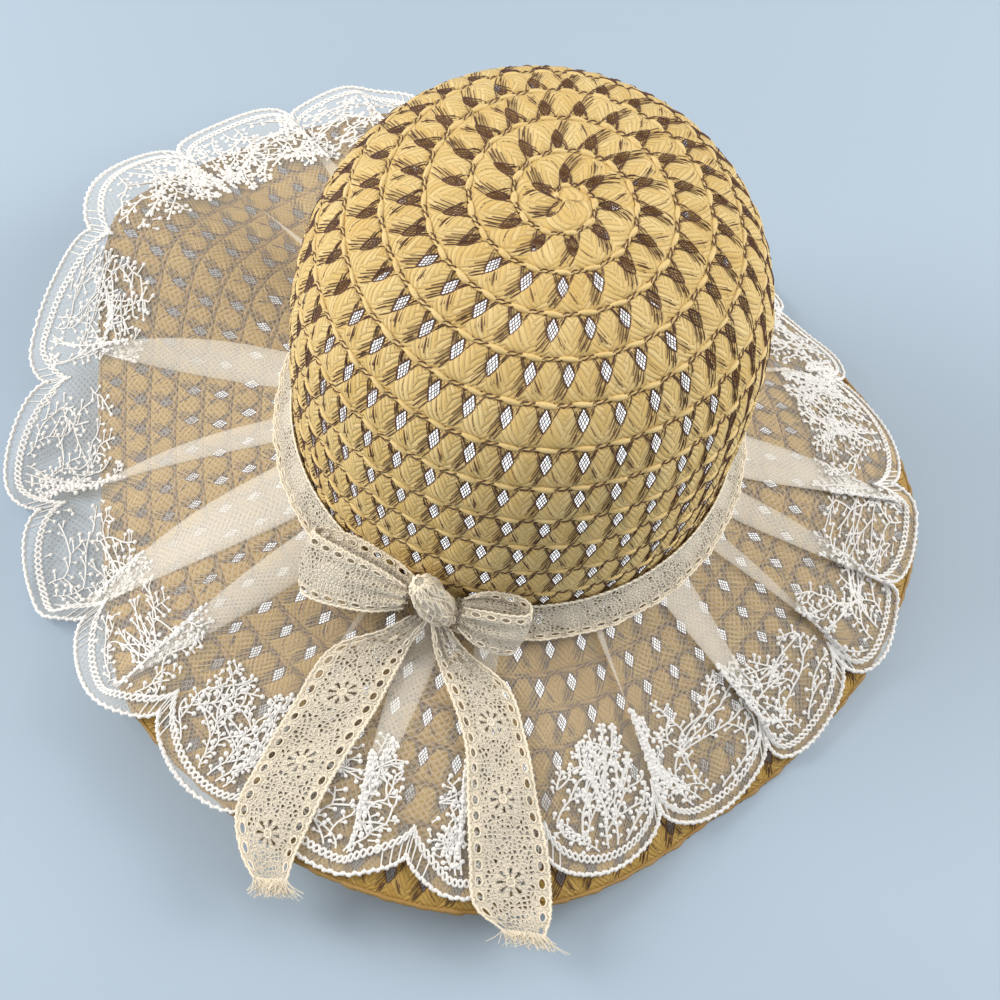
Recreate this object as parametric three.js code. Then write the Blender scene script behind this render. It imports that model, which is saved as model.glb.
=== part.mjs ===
import * as THREE from 'three';

// Straw beach hat lying on its brim. Millimetres, +Z up, the rim rests on z = 0.
// The bow side is towards -Y. Azimuths are in degrees from +X, seen from above.

const HEAD_RADIUS = 92; // straw at the upper edge of the lace band
const BAND_TOP = 72; // that edge above the floor
const SPLIT_HEIGHT = 62; // hidden line under the band where crown meets brim
const SPLIT_RADIUS = 92.3;
const JOINT_GAP = 0.3; // clear gap between neighbouring pieces

const CROWN_BULGE = 2; // the wall swells by this much above the band
const CROWN_WALL_HEIGHT = 41;
const CROWN_DOME_HEIGHT = 74;
const DOME_EXPONENT = 2.7; // above 2 the top is fuller than a half ellipse
const CROWN_LEAN_X = 0.02; // sideways shift per millimetre of height
const CROWN_LEAN_Y = 0.25;
const LEAN_EASE = 12; // height over which the lean sets in

const STRAW_THICKNESS = 2.2;
const ROW_RIB = 1.5; // swell of each plait row above its seams
const CROWN_ROWS = 12;
const BRIM_ROWS = 8;
const CROWN_STEPS = 36;
const BRIM_STEPS = 63;
const LINING_ROUNDS = 6; // rounds of points on the crown's smooth inside
const BRIM_LINING = [0, 5, 9.5, 14, 19, 26]; // rounds under the flare, down the brim from the split
const BRIM_LINING_OUT = 3; // further rounds out to the rim

const FLARE_TURN = { radius: 92.6, height: 51.5 }; // corner that the flare rounds off
const FLARE_REACH = 14; // the flare blends into the brim this far past the corner
const BRIM_ARCH = 3; // upward bow of the brim between flare and rim
const RIM_WIDTH = 2.4; // flat underside of the rim

const TULLE_THICKNESS = 1;
const TULLE_LIFT = 2.3; // clear of the straw ribs
const TULLE_GATHER = [1.5, 7.5, 14.5]; // rounds of the gathered edge, down the brim from the split
const TULLE_ROUNDS = 4; // further rounds out to the scallops
const SCALLOPS = 21;
const SCALLOP_STEPS = 6;
const SCALLOP_DEPTH = 26;
const SCALLOP_PHASE = 180; // azimuth of one cusp
const PLEATS = 42;
const PLEAT_HEIGHT = 4;
const PRESSED_PLEAT = 0.5; // pleat height under the two tails

const LACE_THICKNESS = 1.1;
const BAND_STEPS = 36;
const BAND_GAP = { from: 264, to: 612 }; // the band runs round from one side of the knot to the other
const KNOT = { x: -19.1, y: -100.2, z: 78, wide: 9, tall: 13.5, deep: 6.3, tilt: 20 }; // half sizes, top tilted left

// Rim of the brim, a row for each turn of its wave.
const RIM = [
  { azimuth: 0, reach: 191, height: 16 },
  { azimuth: 15, reach: 187, height: 11 },
  { azimuth: 30, reach: 180, height: 2 },
  { azimuth: 38, reach: 176, height: 0 },
  { azimuth: 56, reach: 174, height: 0 },
  { azimuth: 70, reach: 177, height: 4 },
  { azimuth: 90, reach: 188, height: 18 },
  { azimuth: 110, reach: 197, height: 32 },
  { azimuth: 130, reach: 201, height: 37 },
  { azimuth: 148, reach: 204, height: 48 },
  { azimuth: 159, reach: 206, height: 58 },
  { azimuth: 168, reach: 200, height: 38 },
  { azimuth: 177, reach: 191, height: 17 },
  { azimuth: 187, reach: 185, height: 4 },
  { azimuth: 193, reach: 183, height: 0 },
  { azimuth: 206, reach: 184, height: 0 },
  { azimuth: 214, reach: 189, height: 10 },
  { azimuth: 228, reach: 198, height: 24 },
  { azimuth: 242, reach: 199, height: 24 },
  { azimuth: 256, reach: 204, height: 24 },
  { azimuth: 270, reach: 205, height: 21 },
  { azimuth: 285, reach: 199, height: 16 },
  { azimuth: 300, reach: 187, height: 4 },
  { azimuth: 308, reach: 182, height: 0 },
  { azimuth: 324, reach: 182, height: 0 },
  { azimuth: 332, reach: 184, height: 5 },
  { azimuth: 345, reach: 188, height: 11 },
];

// How far the tips of the tulle's scallops reach from the crown's axis.
const TULLE_EDGE = [
  { azimuth: 0, reach: 190 },
  { azimuth: 20, reach: 182 },
  { azimuth: 45, reach: 176 },
  { azimuth: 65, reach: 182 },
  { azimuth: 85, reach: 200 },
  { azimuth: 102, reach: 215 },
  { azimuth: 118, reach: 221 },
  { azimuth: 133, reach: 224 },
  { azimuth: 150, reach: 229 },
  { azimuth: 168, reach: 227 },
  { azimuth: 187, reach: 225 },
  { azimuth: 203, reach: 216 },
  { azimuth: 220, reach: 208 },
  { azimuth: 236, reach: 203 },
  { azimuth: 265, reach: 202 },
  { azimuth: 290, reach: 190 },
  { azimuth: 305, reach: 179 },
  { azimuth: 322, reach: 180 },
  { azimuth: 342, reach: 188 },
];

// Lace tails in plan, a row across the ribbon at each step from knot to frayed end,
// with its underside's height above the straw: the tails fall from the knot onto the tulle.
const LEFT_TAIL = [
  { ax: -27, ay: -102, bx: -20, by: -103.6, lift: 16.4 },
  { ax: -38, ay: -107, bx: -25, by: -110.5, lift: 9 },
  { ax: -58, ay: -116, bx: -28, by: -119, lift: 5 },
  { ax: -69, ay: -141, bx: -35, by: -139.5, lift: 4.7 },
  { ax: -77.3, ay: -162, bx: -45.8, by: -164.5, lift: 4.7 },
  { ax: -82.9, ay: -180.5, bx: -52.5, by: -185.5, lift: 4.7 },
  { ax: -78, ay: -196, bx: -55.5, by: -195, lift: 4.7 },
  { ax: -70, ay: -206, bx: -57, by: -205, lift: 4.7 },
];
const RIGHT_TAIL = [
  { ax: -18.6, ay: -104, bx: -12, by: -104.2, lift: 16.4 },
  { ax: -16, ay: -111.5, bx: -2, by: -110.5, lift: 9 },
  { ax: -10, ay: -122, bx: 16.5, by: -120, lift: 5 },
  { ax: 1.5, ay: -143, bx: 26.5, by: -138, lift: 4.7 },
  { ax: 6.5, ay: -165, bx: 35, by: -160, lift: 4.7 },
  { ax: 11, ay: -186.5, bx: 43.5, by: -181, lift: 4.7 },
  { ax: 15.5, ay: -202, bx: 47.4, by: -198.5, lift: 4.7 },
  { ax: 29, ay: -209, bx: 46, by: -208.5, lift: 4.7 },
];
const EYELETS = 12; // along each edge of a tail
const TAIL_CUTS = [0, 0.1, 0.22, 0.5, 0.78, 0.9, 1]; // across: edge, eyelet, middle, eyelet, edge

// A bow loop from the knot out to its tip and back over itself.
const LOOP = [
  { along: 0, rise: 0, half: 5 },
  { along: 0.3, rise: -0.6, half: 10.5 },
  { along: 0.68, rise: -0.2, half: 13 },
  { along: 0.92, rise: 1.6, half: 13.5 },
  { along: 1, rise: 5, half: 13.5 },
  { along: 0.92, rise: 8.6, half: 13.5 },
  { along: 0.66, rise: 10, half: 12.5 },
  { along: 0.3, rise: 9, half: 10 },
  { along: 0, rise: 6.2, half: 5 },
];
// The slope is the tilt of the ribbon's width, down and outwards, in degrees.
const LEFT_LOOP = { from: [-28, -97, 77], to: [-69.7, -83.9, 67.8], width: 1, slope: 44 };
const RIGHT_LOOP = { from: [-8, -99.6, 76], to: [19, -99, 68], width: 0.85, slope: 66 };

const STRAW = new THREE.MeshStandardMaterial({ color: 0xdcbc78, roughness: 0.7, metalness: 0 });
const TULLE = new THREE.MeshStandardMaterial({ color: 0xf1ece6, roughness: 0.8, metalness: 0 });
const LACE = new THREE.MeshStandardMaterial({ color: 0xece0c4, roughness: 0.85, metalness: 0 });

const DEG = Math.PI / 180;

// Smooth closed curve through a table, with no overshoot between rows.
function roundTable(rows, key) {
  const n = rows.length;
  const x = (i) => rows[((i % n) + n) % n].azimuth + 360 * Math.floor(i / n);
  const y = (i) => rows[((i % n) + n) % n][key];
  const slope = (i) => {
    const h0 = x(i) - x(i - 1);
    const h1 = x(i + 1) - x(i);
    const d0 = (y(i) - y(i - 1)) / h0;
    const d1 = (y(i + 1) - y(i)) / h1;
    if (d0 * d1 <= 0) return 0;
    return (3 * (h0 + h1)) / ((2 * h1 + h0) / d0 + (h1 + 2 * h0) / d1);
  };
  return (azimuth) => {
    const a = ((azimuth % 360) + 360) % 360;
    let i = n - 1;
    while (x(i) > a) i -= 1;
    const h = x(i + 1) - x(i);
    const t = (a - x(i)) / h;
    const s = 1 - t;
    const ends = s * s * (1 + 2 * t) * y(i) + t * t * (3 - 2 * t) * y(i + 1);
    return ends + h * t * s * (s * slope(i) - t * slope(i + 1));
  };
}

const rimReach = roundTable(RIM, 'reach');
const rimHeight = roundTable(RIM, 'height');
const tulleReach = roundTable(TULLE_EDGE, 'reach');

// Point and outward normal at a length along a profile of (radius, height) points.
function along(profile, length) {
  let i = 1;
  while (i < profile.length - 1 && profile[i].length < length) i += 1;
  const a = profile[i - 1];
  const b = profile[i];
  const t = (length - a.length) / (b.length - a.length);
  const run = Math.hypot(b.r - a.r, b.z - a.z);
  return {
    r: a.r + (b.r - a.r) * t,
    z: a.z + (b.z - a.z) * t,
    nr: (a.z - b.z) / run,
    nz: (b.r - a.r) / run,
  };
}

function measured(points) {
  let length = 0;
  return points.map((p, i) => {
    if (i > 0) length += Math.hypot(p.r - points[i - 1].r, p.z - points[i - 1].z);
    return { r: p.r, z: p.z, length };
  });
}

// Crown from its tip down to the split line.
function crownProfile() {
  const points = [];
  const widest = HEAD_RADIUS + CROWN_BULGE;
  for (let i = 0; i <= 36; i += 1) {
    const angle = (Math.PI / 2) * (1 - i / 36);
    const r = widest * Math.cos(angle) ** (2 / DOME_EXPONENT);
    const z = BAND_TOP + CROWN_WALL_HEIGHT + CROWN_DOME_HEIGHT * Math.sin(angle) ** (2 / DOME_EXPONENT);
    points.push({ r: i === 0 ? 0 : r, z });
  }
  for (let i = 1; i <= 8; i += 1) {
    const t = 1 - i / 8;
    const r = HEAD_RADIUS + CROWN_BULGE * Math.sin((t * Math.PI) / 2);
    points.push({ r, z: BAND_TOP + CROWN_WALL_HEIGHT * t });
  }
  points.push({ r: SPLIT_RADIUS, z: SPLIT_HEIGHT + JOINT_GAP });
  return measured(points);
}

// Brim's upper face from the split line out to the rim at one azimuth.
function brimProfile(azimuth) {
  const rim = { r: rimReach(azimuth), z: rimHeight(azimuth) };
  const turn = FLARE_TURN;
  const span = Math.hypot(rim.r - turn.radius, rim.z - turn.height);
  const ur = (rim.r - turn.radius) / span;
  const uz = (rim.z - turn.height) / span;
  const knee = { r: turn.radius + FLARE_REACH * ur, z: turn.height + FLARE_REACH * uz };
  const points = [];
  for (let i = 0; i <= 8; i += 1) {
    const t = i / 8;
    const a = (1 - t) * (1 - t);
    const b = 2 * t * (1 - t);
    const r = a * SPLIT_RADIUS + b * turn.radius + t * t * knee.r;
    points.push({ r, z: a * SPLIT_HEIGHT + b * turn.height + t * t * knee.z });
  }
  for (let i = 1; i <= 16; i += 1) {
    const t = i / 16;
    const arch = BRIM_ARCH * Math.sin(Math.PI * t);
    points.push({ r: knee.r + (rim.r - knee.r) * t - arch * uz, z: knee.z + (rim.z - knee.z) * t + arch * ur });
  }
  return measured(points);
}

const brimProfiles = new Map();
function brimAt(azimuth) {
  const key = Math.round(azimuth * 1000);
  if (!brimProfiles.has(key)) brimProfiles.set(key, brimProfile(azimuth));
  return brimProfiles.get(key);
}

function placed(azimuth, r, z) {
  return new THREE.Vector3(r * Math.cos(azimuth * DEG), r * Math.sin(azimuth * DEG), z);
}

// The soft crown leans back, more with height.
function leaning(point) {
  const t = Math.max(0, point.z - BAND_TOP);
  const eased = (t * t) / (t + LEAN_EASE);
  return point.set(point.x + CROWN_LEAN_X * eased, point.y + CROWN_LEAN_Y * eased, point.z);
}

// A point lifted square off the straw at a share of the brim's length, or past its rim,
// where the surface levels out and stays above the floor.
function strawPoint(azimuth, share, over, lift) {
  const profile = brimAt(azimuth);
  const p = along(profile, profile[profile.length - 1].length * share);
  const fall = Math.min(p.z * 0.5, over * 0.3);
  return placed(azimuth, p.r + p.nr * lift + over, p.z + p.nz * lift - fall);
}

// The same on the brim's facets, by length from the split; negative lengths run up the crown.
function onStraw(azimuth, length, lift) {
  if (length < 0) return placed(azimuth, SPLIT_RADIUS + lift, SPLIT_HEIGHT - length);
  const profile = brimAt(azimuth);
  const total = profile[profile.length - 1].length;
  const share = Math.min(1, length / total);
  const over = Math.max(0, length - total);
  const step = 360 / BRIM_STEPS;
  const before = Math.floor(azimuth / step) * step;
  const a = strawPoint(before, share, over, lift);
  return a.lerp(strawPoint(before + step, share, over, lift), (azimuth - before) / step);
}

// Height of the straw's upper face under a point in plan.
function strawHeight(x, y) {
  const azimuth = Math.atan2(y, x) / DEG;
  const r = Math.hypot(x, y);
  const profile = brimAt(azimuth);
  const last = profile[profile.length - 1];
  if (r >= last.r) return last.z - Math.min(last.z * 0.5, (r - last.r) * 0.3);
  let i = 1;
  while (profile[i].r < r) i += 1;
  const a = profile[i - 1];
  const b = profile[i];
  return a.z + ((b.z - a.z) * (r - a.r)) / (b.r - a.r);
}

// Closed body from points and triangles, faces turned outwards.
function body(points, triangles, material, name) {
  let volume = 0;
  for (let i = 0; i < triangles.length; i += 3) {
    const [a, b, c] = [points[triangles[i]], points[triangles[i + 1]], points[triangles[i + 2]]];
    volume += a.dot(b.clone().cross(c));
  }
  if (volume < 0) triangles.reverse();
  const geometry = new THREE.BufferGeometry().setFromPoints(points);
  geometry.setIndex(triangles);
  geometry.computeVertexNormals();
  const mesh = new THREE.Mesh(geometry, material);
  mesh.name = name;
  return mesh;
}

// Ring-shaped shell between outer and inner rounds; a first round of one point closes the top.
function shell(outer, inner, material, name) {
  const points = [];
  const triangles = [];
  const number = (rounds) => rounds.map((round) => round.map((p) => points.push(p) - 1));
  const quad = (a, b, c, d) => {
    if (a !== b) triangles.push(a, b, c);
    if (c !== d) triangles.push(a, c, d);
  };
  const strip = (upper, lower) => {
    const n = lower.length;
    const at = (round, j) => round[round.length === 1 ? 0 : j % n];
    for (let j = 0; j < n; j += 1) quad(at(upper, j), at(upper, j + 1), at(lower, j + 1), at(lower, j));
  };
  const o = number(outer);
  const i = number(inner);
  for (let k = 1; k < o.length; k += 1) strip(o[k - 1], o[k]);
  for (let k = i.length - 1; k > 0; k -= 1) {
    const n = i[k].length;
    for (let j = 0; j < n; j += 1) {
      const [a, b] = [i[k][j], i[k][(j + 1) % n]];
      const [c, d] = i[k - 1].length === 1 ? [i[k - 1][0], i[k - 1][0]] : [i[k - 1][(j + 1) % n], i[k - 1][j]];
      triangles.push(a, b, c);
      if (c !== d) triangles.push(a, c, d);
    }
  }
  strip(o[o.length - 1], i[i.length - 1]);
  if (outer[0].length > 1) strip(i[0], o[0]);
  return body(points, triangles, material, name);
}

// Sheet between two faces of points, closed round its edges and round each cell left open.
function sheet(upper, lower, material, name, { wrap = false, open = () => false } = {}) {
  const points = [];
  const triangles = [];
  const u = upper.map((row) => row.map((p) => points.push(p) - 1));
  const l = lower.map((row) => row.map((p) => points.push(p) - 1));
  const rows = u.length;
  const columns = u[0].length;
  const cellColumns = wrap ? columns : columns - 1;
  const filled = (i, j) => {
    if (i < 0 || i >= rows - 1) return false;
    if (!wrap && (j < 0 || j >= cellColumns)) return false;
    return !open(i, (j + cellColumns) % cellColumns);
  };
  const wall = (i, j, m, n) => {
    triangles.push(u[i][j], u[m][n], l[m][n], u[i][j], l[m][n], l[i][j]);
  };
  for (let i = 0; i < rows - 1; i += 1) {
    for (let j = 0; j < cellColumns; j += 1) {
      if (!filled(i, j)) continue;
      const k = (j + 1) % columns;
      triangles.push(u[i][j], u[i + 1][k], u[i][k], u[i][j], u[i + 1][j], u[i + 1][k]);
      triangles.push(l[i][j], l[i][k], l[i + 1][k], l[i][j], l[i + 1][k], l[i + 1][j]);
      if (!filled(i - 1, j)) wall(i, j, i, k);
      if (!filled(i + 1, j)) wall(i + 1, k, i + 1, j);
      if (!filled(i, j - 1)) wall(i + 1, j, i, j);
      if (!filled(i, j + 1)) wall(i, k, i + 1, k);
    }
  }
  return body(points, triangles, material, name);
}

function rounds(count, make) {
  return Array.from({ length: count }, (_, k) => make(k));
}

function round(steps, make) {
  return rounds(steps, (j) => make((360 * j) / steps));
}

// Crown: plait rows swell between their seams, the inside is smooth.
function crown() {
  const profile = crownProfile();
  const total = profile[profile.length - 1].length;
  const tip = profile[0].z;
  const outer = rounds(2 * CROWN_ROWS + 1, (k) => {
    if (k === 0) return [leaning(new THREE.Vector3(0, 0, tip))];
    const p = along(profile, (total * k) / (2 * CROWN_ROWS));
    const rib = k % 2 === 1 ? ROW_RIB : 0;
    return round(CROWN_STEPS, (a) => leaning(placed(a, p.r + p.nr * rib, p.z + p.nz * rib)));
  });
  const inner = rounds(LINING_ROUNDS + 1, (k) => {
    if (k === 0) return [leaning(new THREE.Vector3(0, 0, tip - STRAW_THICKNESS))];
    const p = along(profile, (total * k) / LINING_ROUNDS);
    const z = k === LINING_ROUNDS ? p.z : p.z - p.nz * STRAW_THICKNESS;
    return round(CROWN_STEPS, (a) => leaning(placed(a, p.r - p.nr * STRAW_THICKNESS, z)));
  });
  return shell(outer, inner, STRAW, 'crown');
}

// Brim: flares out under the band and waves down to the rim, which is flat below.
function brim() {
  const outer = rounds(2 * BRIM_ROWS + 1, (k) => round(BRIM_STEPS, (a) => {
    const profile = brimAt(a);
    const p = along(profile, (profile[profile.length - 1].length * k) / (2 * BRIM_ROWS));
    const rib = k % 2 === 1 ? ROW_RIB : 0;
    return placed(a, p.r + p.nr * rib, p.z + p.nz * rib);
  }));
  const near = BRIM_LINING.length;
  const inner = rounds(near + BRIM_LINING_OUT, (k) => round(BRIM_STEPS, (a) => {
    const profile = brimAt(a);
    const last = profile[profile.length - 1];
    if (k === near + BRIM_LINING_OUT - 1) return placed(a, last.r - RIM_WIDTH, last.z);
    if (k === 0) return placed(a, SPLIT_RADIUS - STRAW_THICKNESS, SPLIT_HEIGHT);
    const t = (k - near + 1) / (BRIM_LINING_OUT - 0.85);
    const start = BRIM_LINING[near - 1];
    const p = along(profile, k < near ? BRIM_LINING[k] : start + (last.length - start) * t);
    return placed(a, p.r - p.nr * STRAW_THICKNESS, Math.max(p.z - p.nz * STRAW_THICKNESS, 0));
  }));
  return shell(outer, inner, STRAW, 'brim');
}

// How much the tails press the pleats flat, from 0 to 1.
function pressed(azimuth) {
  const off = Math.abs(azimuth - 262);
  return THREE.MathUtils.clamp((36 - off) / 8, 0, 1);
}

// Tulle ruffle: pleated at the band, easing outwards to a scalloped edge.
function tulle() {
  const steps = SCALLOPS * SCALLOP_STEPS;
  const gathered = TULLE_GATHER.length;
  const start = TULLE_GATHER[gathered - 1];
  const face = (extra) => rounds(gathered + TULLE_ROUNDS, (k) => round(steps, (a) => {
    if (k < gathered) return onStraw(a, TULLE_GATHER[k], TULLE_LIFT + extra);
    const profile = brimAt(a);
    const end = profile[profile.length - 1];
    const phase = ((a - SCALLOP_PHASE) * SCALLOPS) / 360;
    const across = 2 * (phase - Math.floor(phase)) - 1;
    const scallop = SCALLOP_DEPTH * (1 - Math.sqrt(Math.max(0, 1 - across * across)));
    const edge = end.length + (tulleReach(a) - end.r) * 1.05 - scallop;
    const t = (k - gathered + 1) / TULLE_ROUNDS;
    const height = THREE.MathUtils.lerp(PLEAT_HEIGHT, PRESSED_PLEAT, pressed(a));
    const swell = Math.sin(Math.PI * (0.15 + 0.6 * t));
    const wave = 0.5 - 0.5 * Math.cos(a * PLEATS * DEG);
    return onStraw(a, start + (edge - start) * t, TULLE_LIFT + extra + height * swell * wave);
  }));
  return sheet(face(TULLE_THICKNESS), face(0), TULLE, 'tulle_ruffle', { wrap: true });
}

// Lace band round the crown's foot, over the gathered tulle, open where the knot sits.
function band() {
  const rows = [
    { length: -10.2, lift: 2 },
    { length: -2, lift: 2.3 },
    { length: 4, lift: TULLE_LIFT + TULLE_THICKNESS + 0.9 },
    { length: 9.5, lift: TULLE_LIFT + TULLE_THICKNESS + 1.6 },
  ];
  const face = (extra) => rows.map((row) => rounds(BAND_STEPS + 1, (j) => {
    const azimuth = BAND_GAP.from + ((BAND_GAP.to - BAND_GAP.from) * j) / BAND_STEPS;
    return onStraw(azimuth, row.length, row.lift + extra);
  }));
  return sheet(face(LACE_THICKNESS), face(0), LACE, 'lace_band');
}

function knot() {
  const geometry = new THREE.SphereGeometry(1, 16, 10);
  const position = geometry.getAttribute('position');
  const turn = Math.atan2(KNOT.y, KNOT.x);
  const outwards = new THREE.Vector3(Math.cos(turn), Math.sin(turn), 0);
  const sideways = new THREE.Vector3(-outwards.y, outwards.x, 0);
  const tilt = KNOT.tilt * DEG;
  const p = new THREE.Vector3();
  for (let i = 0; i < position.count; i += 1) {
    p.fromBufferAttribute(position, i);
    const fold = 1 + 0.06 * Math.cos(3 * Math.atan2(p.x, p.z)) * Math.hypot(p.x, p.z);
    const wide = KNOT.wide * p.x * fold * (1 - 0.12 * p.y);
    const deep = KNOT.deep * p.z * fold;
    const tall = KNOT.tall * p.y;
    const place = new THREE.Vector3(KNOT.x, KNOT.y, KNOT.z + tall * Math.cos(tilt) + wide * Math.sin(tilt));
    place.addScaledVector(sideways, wide * Math.cos(tilt) - tall * Math.sin(tilt));
    place.addScaledVector(outwards, deep);
    position.setXYZ(i, place.x, place.y, place.z);
  }
  geometry.computeVertexNormals();
  const mesh = new THREE.Mesh(geometry, LACE);
  mesh.name = 'bow_knot';
  return mesh;
}

// Bow loop: the ribbon leaves the knot, turns at its tip and comes back over itself.
function loop(place, name) {
  const from = new THREE.Vector3(...place.from);
  const way = new THREE.Vector3(...place.to).sub(from);
  const middle = from.clone().addScaledVector(way, 0.5);
  const turn = Math.atan2(middle.y, middle.x);
  const slope = place.slope * DEG;
  const width = new THREE.Vector3(Math.cos(turn) * Math.cos(slope), Math.sin(turn) * Math.cos(slope), -Math.sin(slope));
  const up = width.clone().cross(way).normalize();
  if (up.z < 0) up.negate();
  width.crossVectors(up, way).normalize();
  const path = new THREE.CatmullRomCurve3(LOOP.map((row) => new THREE.Vector3(row.along * way.length(), row.rise, row.half)));
  const steps = 16;
  const across = [-1, -0.4, 0.4, 1];
  const unit = way.clone().normalize();
  const face = (side) => rounds(steps + 1, (i) => {
    const p = path.getPoint(i / steps);
    const t = path.getTangent(i / steps);
    const run = Math.hypot(t.x, t.y);
    const thick = (side * LACE_THICKNESS) / 2;
    return across.map((w) => {
      const x = p.x - (thick * t.y) / run;
      const y = p.y + (thick * t.x) / run;
      return from.clone().addScaledVector(unit, x).addScaledVector(up, y)
        .addScaledVector(width, w * p.z * place.width);
    });
  });
  return sheet(face(1), face(-1), LACE, name);
}

// Lace tail lying over the tulle, with a line of eyelets along each edge.
function tail(rows, name) {
  const a = new THREE.CatmullRomCurve3(rows.map((row) => new THREE.Vector3(row.ax, row.ay, row.lift)));
  const b = new THREE.CatmullRomCurve3(rows.map((row) => new THREE.Vector3(row.bx, row.by, row.lift)));
  const steps = 2 * EYELETS + 3;
  const face = (extra) => rounds(steps + 1, (i) => {
    const left = a.getPoint(i / steps);
    const right = b.getPoint(i / steps);
    return TAIL_CUTS.map((t) => {
      const p = left.clone().lerp(right, t);
      return p.setZ(strawHeight(p.x, p.y) + p.z + extra);
    });
  });
  const open = (i, j) => (j === 1 || j === 4) && i % 2 === 0 && i >= 4 && i < steps - 2;
  return sheet(face(LACE_THICKNESS), face(0), LACE, name, { open });
}

const hat = new THREE.Group();
hat.name = 'straw_beach_hat';
hat.add(
  crown(),
  brim(),
  tulle(),
  band(),
  knot(),
  loop(LEFT_LOOP, 'bow_loop_left'),
  loop(RIGHT_LOOP, 'bow_loop_right'),
  tail(LEFT_TAIL, 'bow_tail_left'),
  tail(RIGHT_TAIL, 'bow_tail_right'),
);

// Stand the hat over the middle of its footprint.
const box = new THREE.Box3().setFromObject(hat);
const middle = box.getCenter(new THREE.Vector3());
hat.traverse((child) => {
  if (child.isMesh) child.geometry.translate(-middle.x, -middle.y, 0);
});

export default hat;
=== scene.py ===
"""Straw beach hat with an embroidered tulle ruffle and a crochet lace bow, dressed over its solids."""
import bpy
import numpy as np
from bpy.props import FloatProperty, FloatVectorProperty, IntProperty, PointerProperty
from mathutils import Matrix, Vector


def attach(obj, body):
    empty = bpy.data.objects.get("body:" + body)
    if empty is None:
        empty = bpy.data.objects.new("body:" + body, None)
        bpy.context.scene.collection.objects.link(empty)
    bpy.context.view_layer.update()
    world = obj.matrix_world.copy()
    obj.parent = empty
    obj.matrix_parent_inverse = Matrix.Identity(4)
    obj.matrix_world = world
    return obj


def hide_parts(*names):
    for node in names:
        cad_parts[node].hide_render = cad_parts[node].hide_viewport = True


bl_info = {
    "name": "Straw beach hat",
    "version": (1, 0, 0),
    "blender": (4, 5, 0),
    "location": "3D View > Sidebar > Straw hat",
    "description": "Plaited straw hat with an embroidered tulle ruffle and a crochet lace bow",
    "category": "Add Mesh",
}

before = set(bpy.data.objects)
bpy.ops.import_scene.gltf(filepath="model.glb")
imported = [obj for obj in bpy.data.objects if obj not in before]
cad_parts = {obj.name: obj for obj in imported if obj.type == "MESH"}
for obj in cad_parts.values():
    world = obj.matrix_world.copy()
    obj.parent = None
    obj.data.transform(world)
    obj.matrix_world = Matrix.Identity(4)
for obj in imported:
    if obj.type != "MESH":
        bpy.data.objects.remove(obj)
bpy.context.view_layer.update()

# Lengths below are millimetres from the crown's axis and the floor; azimuths are degrees from +X.
AXIS = np.array([17.962, -1.555, 0.0])
UP = np.array([0, 0, 1.0])
# Crown and brim meet at the split, radius and height, which the band hides.
SPLIT = (92.3, 62.0)
BAND_TOP = 72.0
WALL_HEIGHT, FOOT_RADIUS = 41, 92
DOME = dict(radius=94.0, height=74, power=2 / 2.7)
# The crown leans by these shares of its height above the band, easing in over LEAN_EASE.
LEAN, LEAN_EASE = (0.02, 0.25), 12
COIL_TIP = (4.0, -10.0)
COIL_TURNS = 11.69
TIP_RADIUS = 11
# The brim bends round BRIM_TURN, radius and height, then runs to its rim with a slight bow.
BRIM_TURN, BRIM_BEND, BRIM_BOW = np.array([92.6, 51.5]), 14, 3
BRIM_ROWS = 8
RIM_DROP = 0.3
ROW_STAGGER = 0.37
# A window's middle and half height, as shares of the row.
WINDOW_AT, WINDOW_HALF = -0.15, 0.28
# Net over a window: step between threads, slant, and each thread's reach as a share of the row.
NET_STEP, NET_SLANT, NET_REACH = 1.15, 8.5, (0.28, 0.43, 0.38, 0.45, 0.30)
# Tints that paint shade onto the straw of the brim and its cords, darker and more orange as under the tulle; PLAIN
# paints none.
PLAIN, BRIM_PAINTED_SHADE, BRIM_CORD_PAINTED_SHADE = (1, 1, 1), (0.62, 0.54, 0.33), (0.46, 0.37, 0.24)
TULLE_LIFT, TULLE_TOP = 2.3, 1.5
SCALLOPS, SCALLOP_DEPTH, SCALLOP_PHASE = 21, 16.0, 180.0
# The tails press the tulle flat round PRESS_AT, fading out at PRESS_HALF over PRESS_FADE degrees.
PRESS_AT, PRESS_HALF, PRESS_FADE = 262, 36, 8
# Embroidery: millimetres of edge to a degree, half width and foot of a bush, square that keeps one dot.
EDGE_DEGREE, BUSH_HALF, BUSH_FOOT, DOT_PITCH = 3.35, 26, 8, 2.5
# Lengths of an embroidered bush from its foot up: reach, half angle of its fork, share of forks that live.
BUSH = ((8.0, 0.46, 1.0), (8.5, 0.52, 0.9), (8.5, 0.56, 0.7), (8.5, 0.58, 0.6), (8.0, 0.58, 0.55), (7.0, 0.0, 0.0))
# Lace: length of a repeat, step of the eyelets, and how far eyelets and picots lie from the ribbon's middle.
LACE_REPEAT = 31.0
EYELET_PITCH, EYELET_AT, PICOT_AT = 6.2, 11.7, 15.5
# Band from top to foot: length down from the split, lift. A share BAND_SHOWN of the ribbon's width shows, off centre
# by BAND_SHIFT, and its length is taken at BAND_RADIUS.
BAND_LINE = ((-10.6, 2.4), (-2, 2.9), (4, 4.9), (9.5, 6.0), (14.5, 7.2))
BAND_FROM, BAND_TO, BAND_RADIUS = 264.0, 612.0, 96
BAND_SHOWN, BAND_SHIFT = 0.86, 2.2
KNOT = dict(centre=(-19.1, -100.2, 78.6), wide=6.8, tall=14.5, deep=6.0, tilt=24.0, threads=17)
FRAY_COUNT = 150

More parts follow.
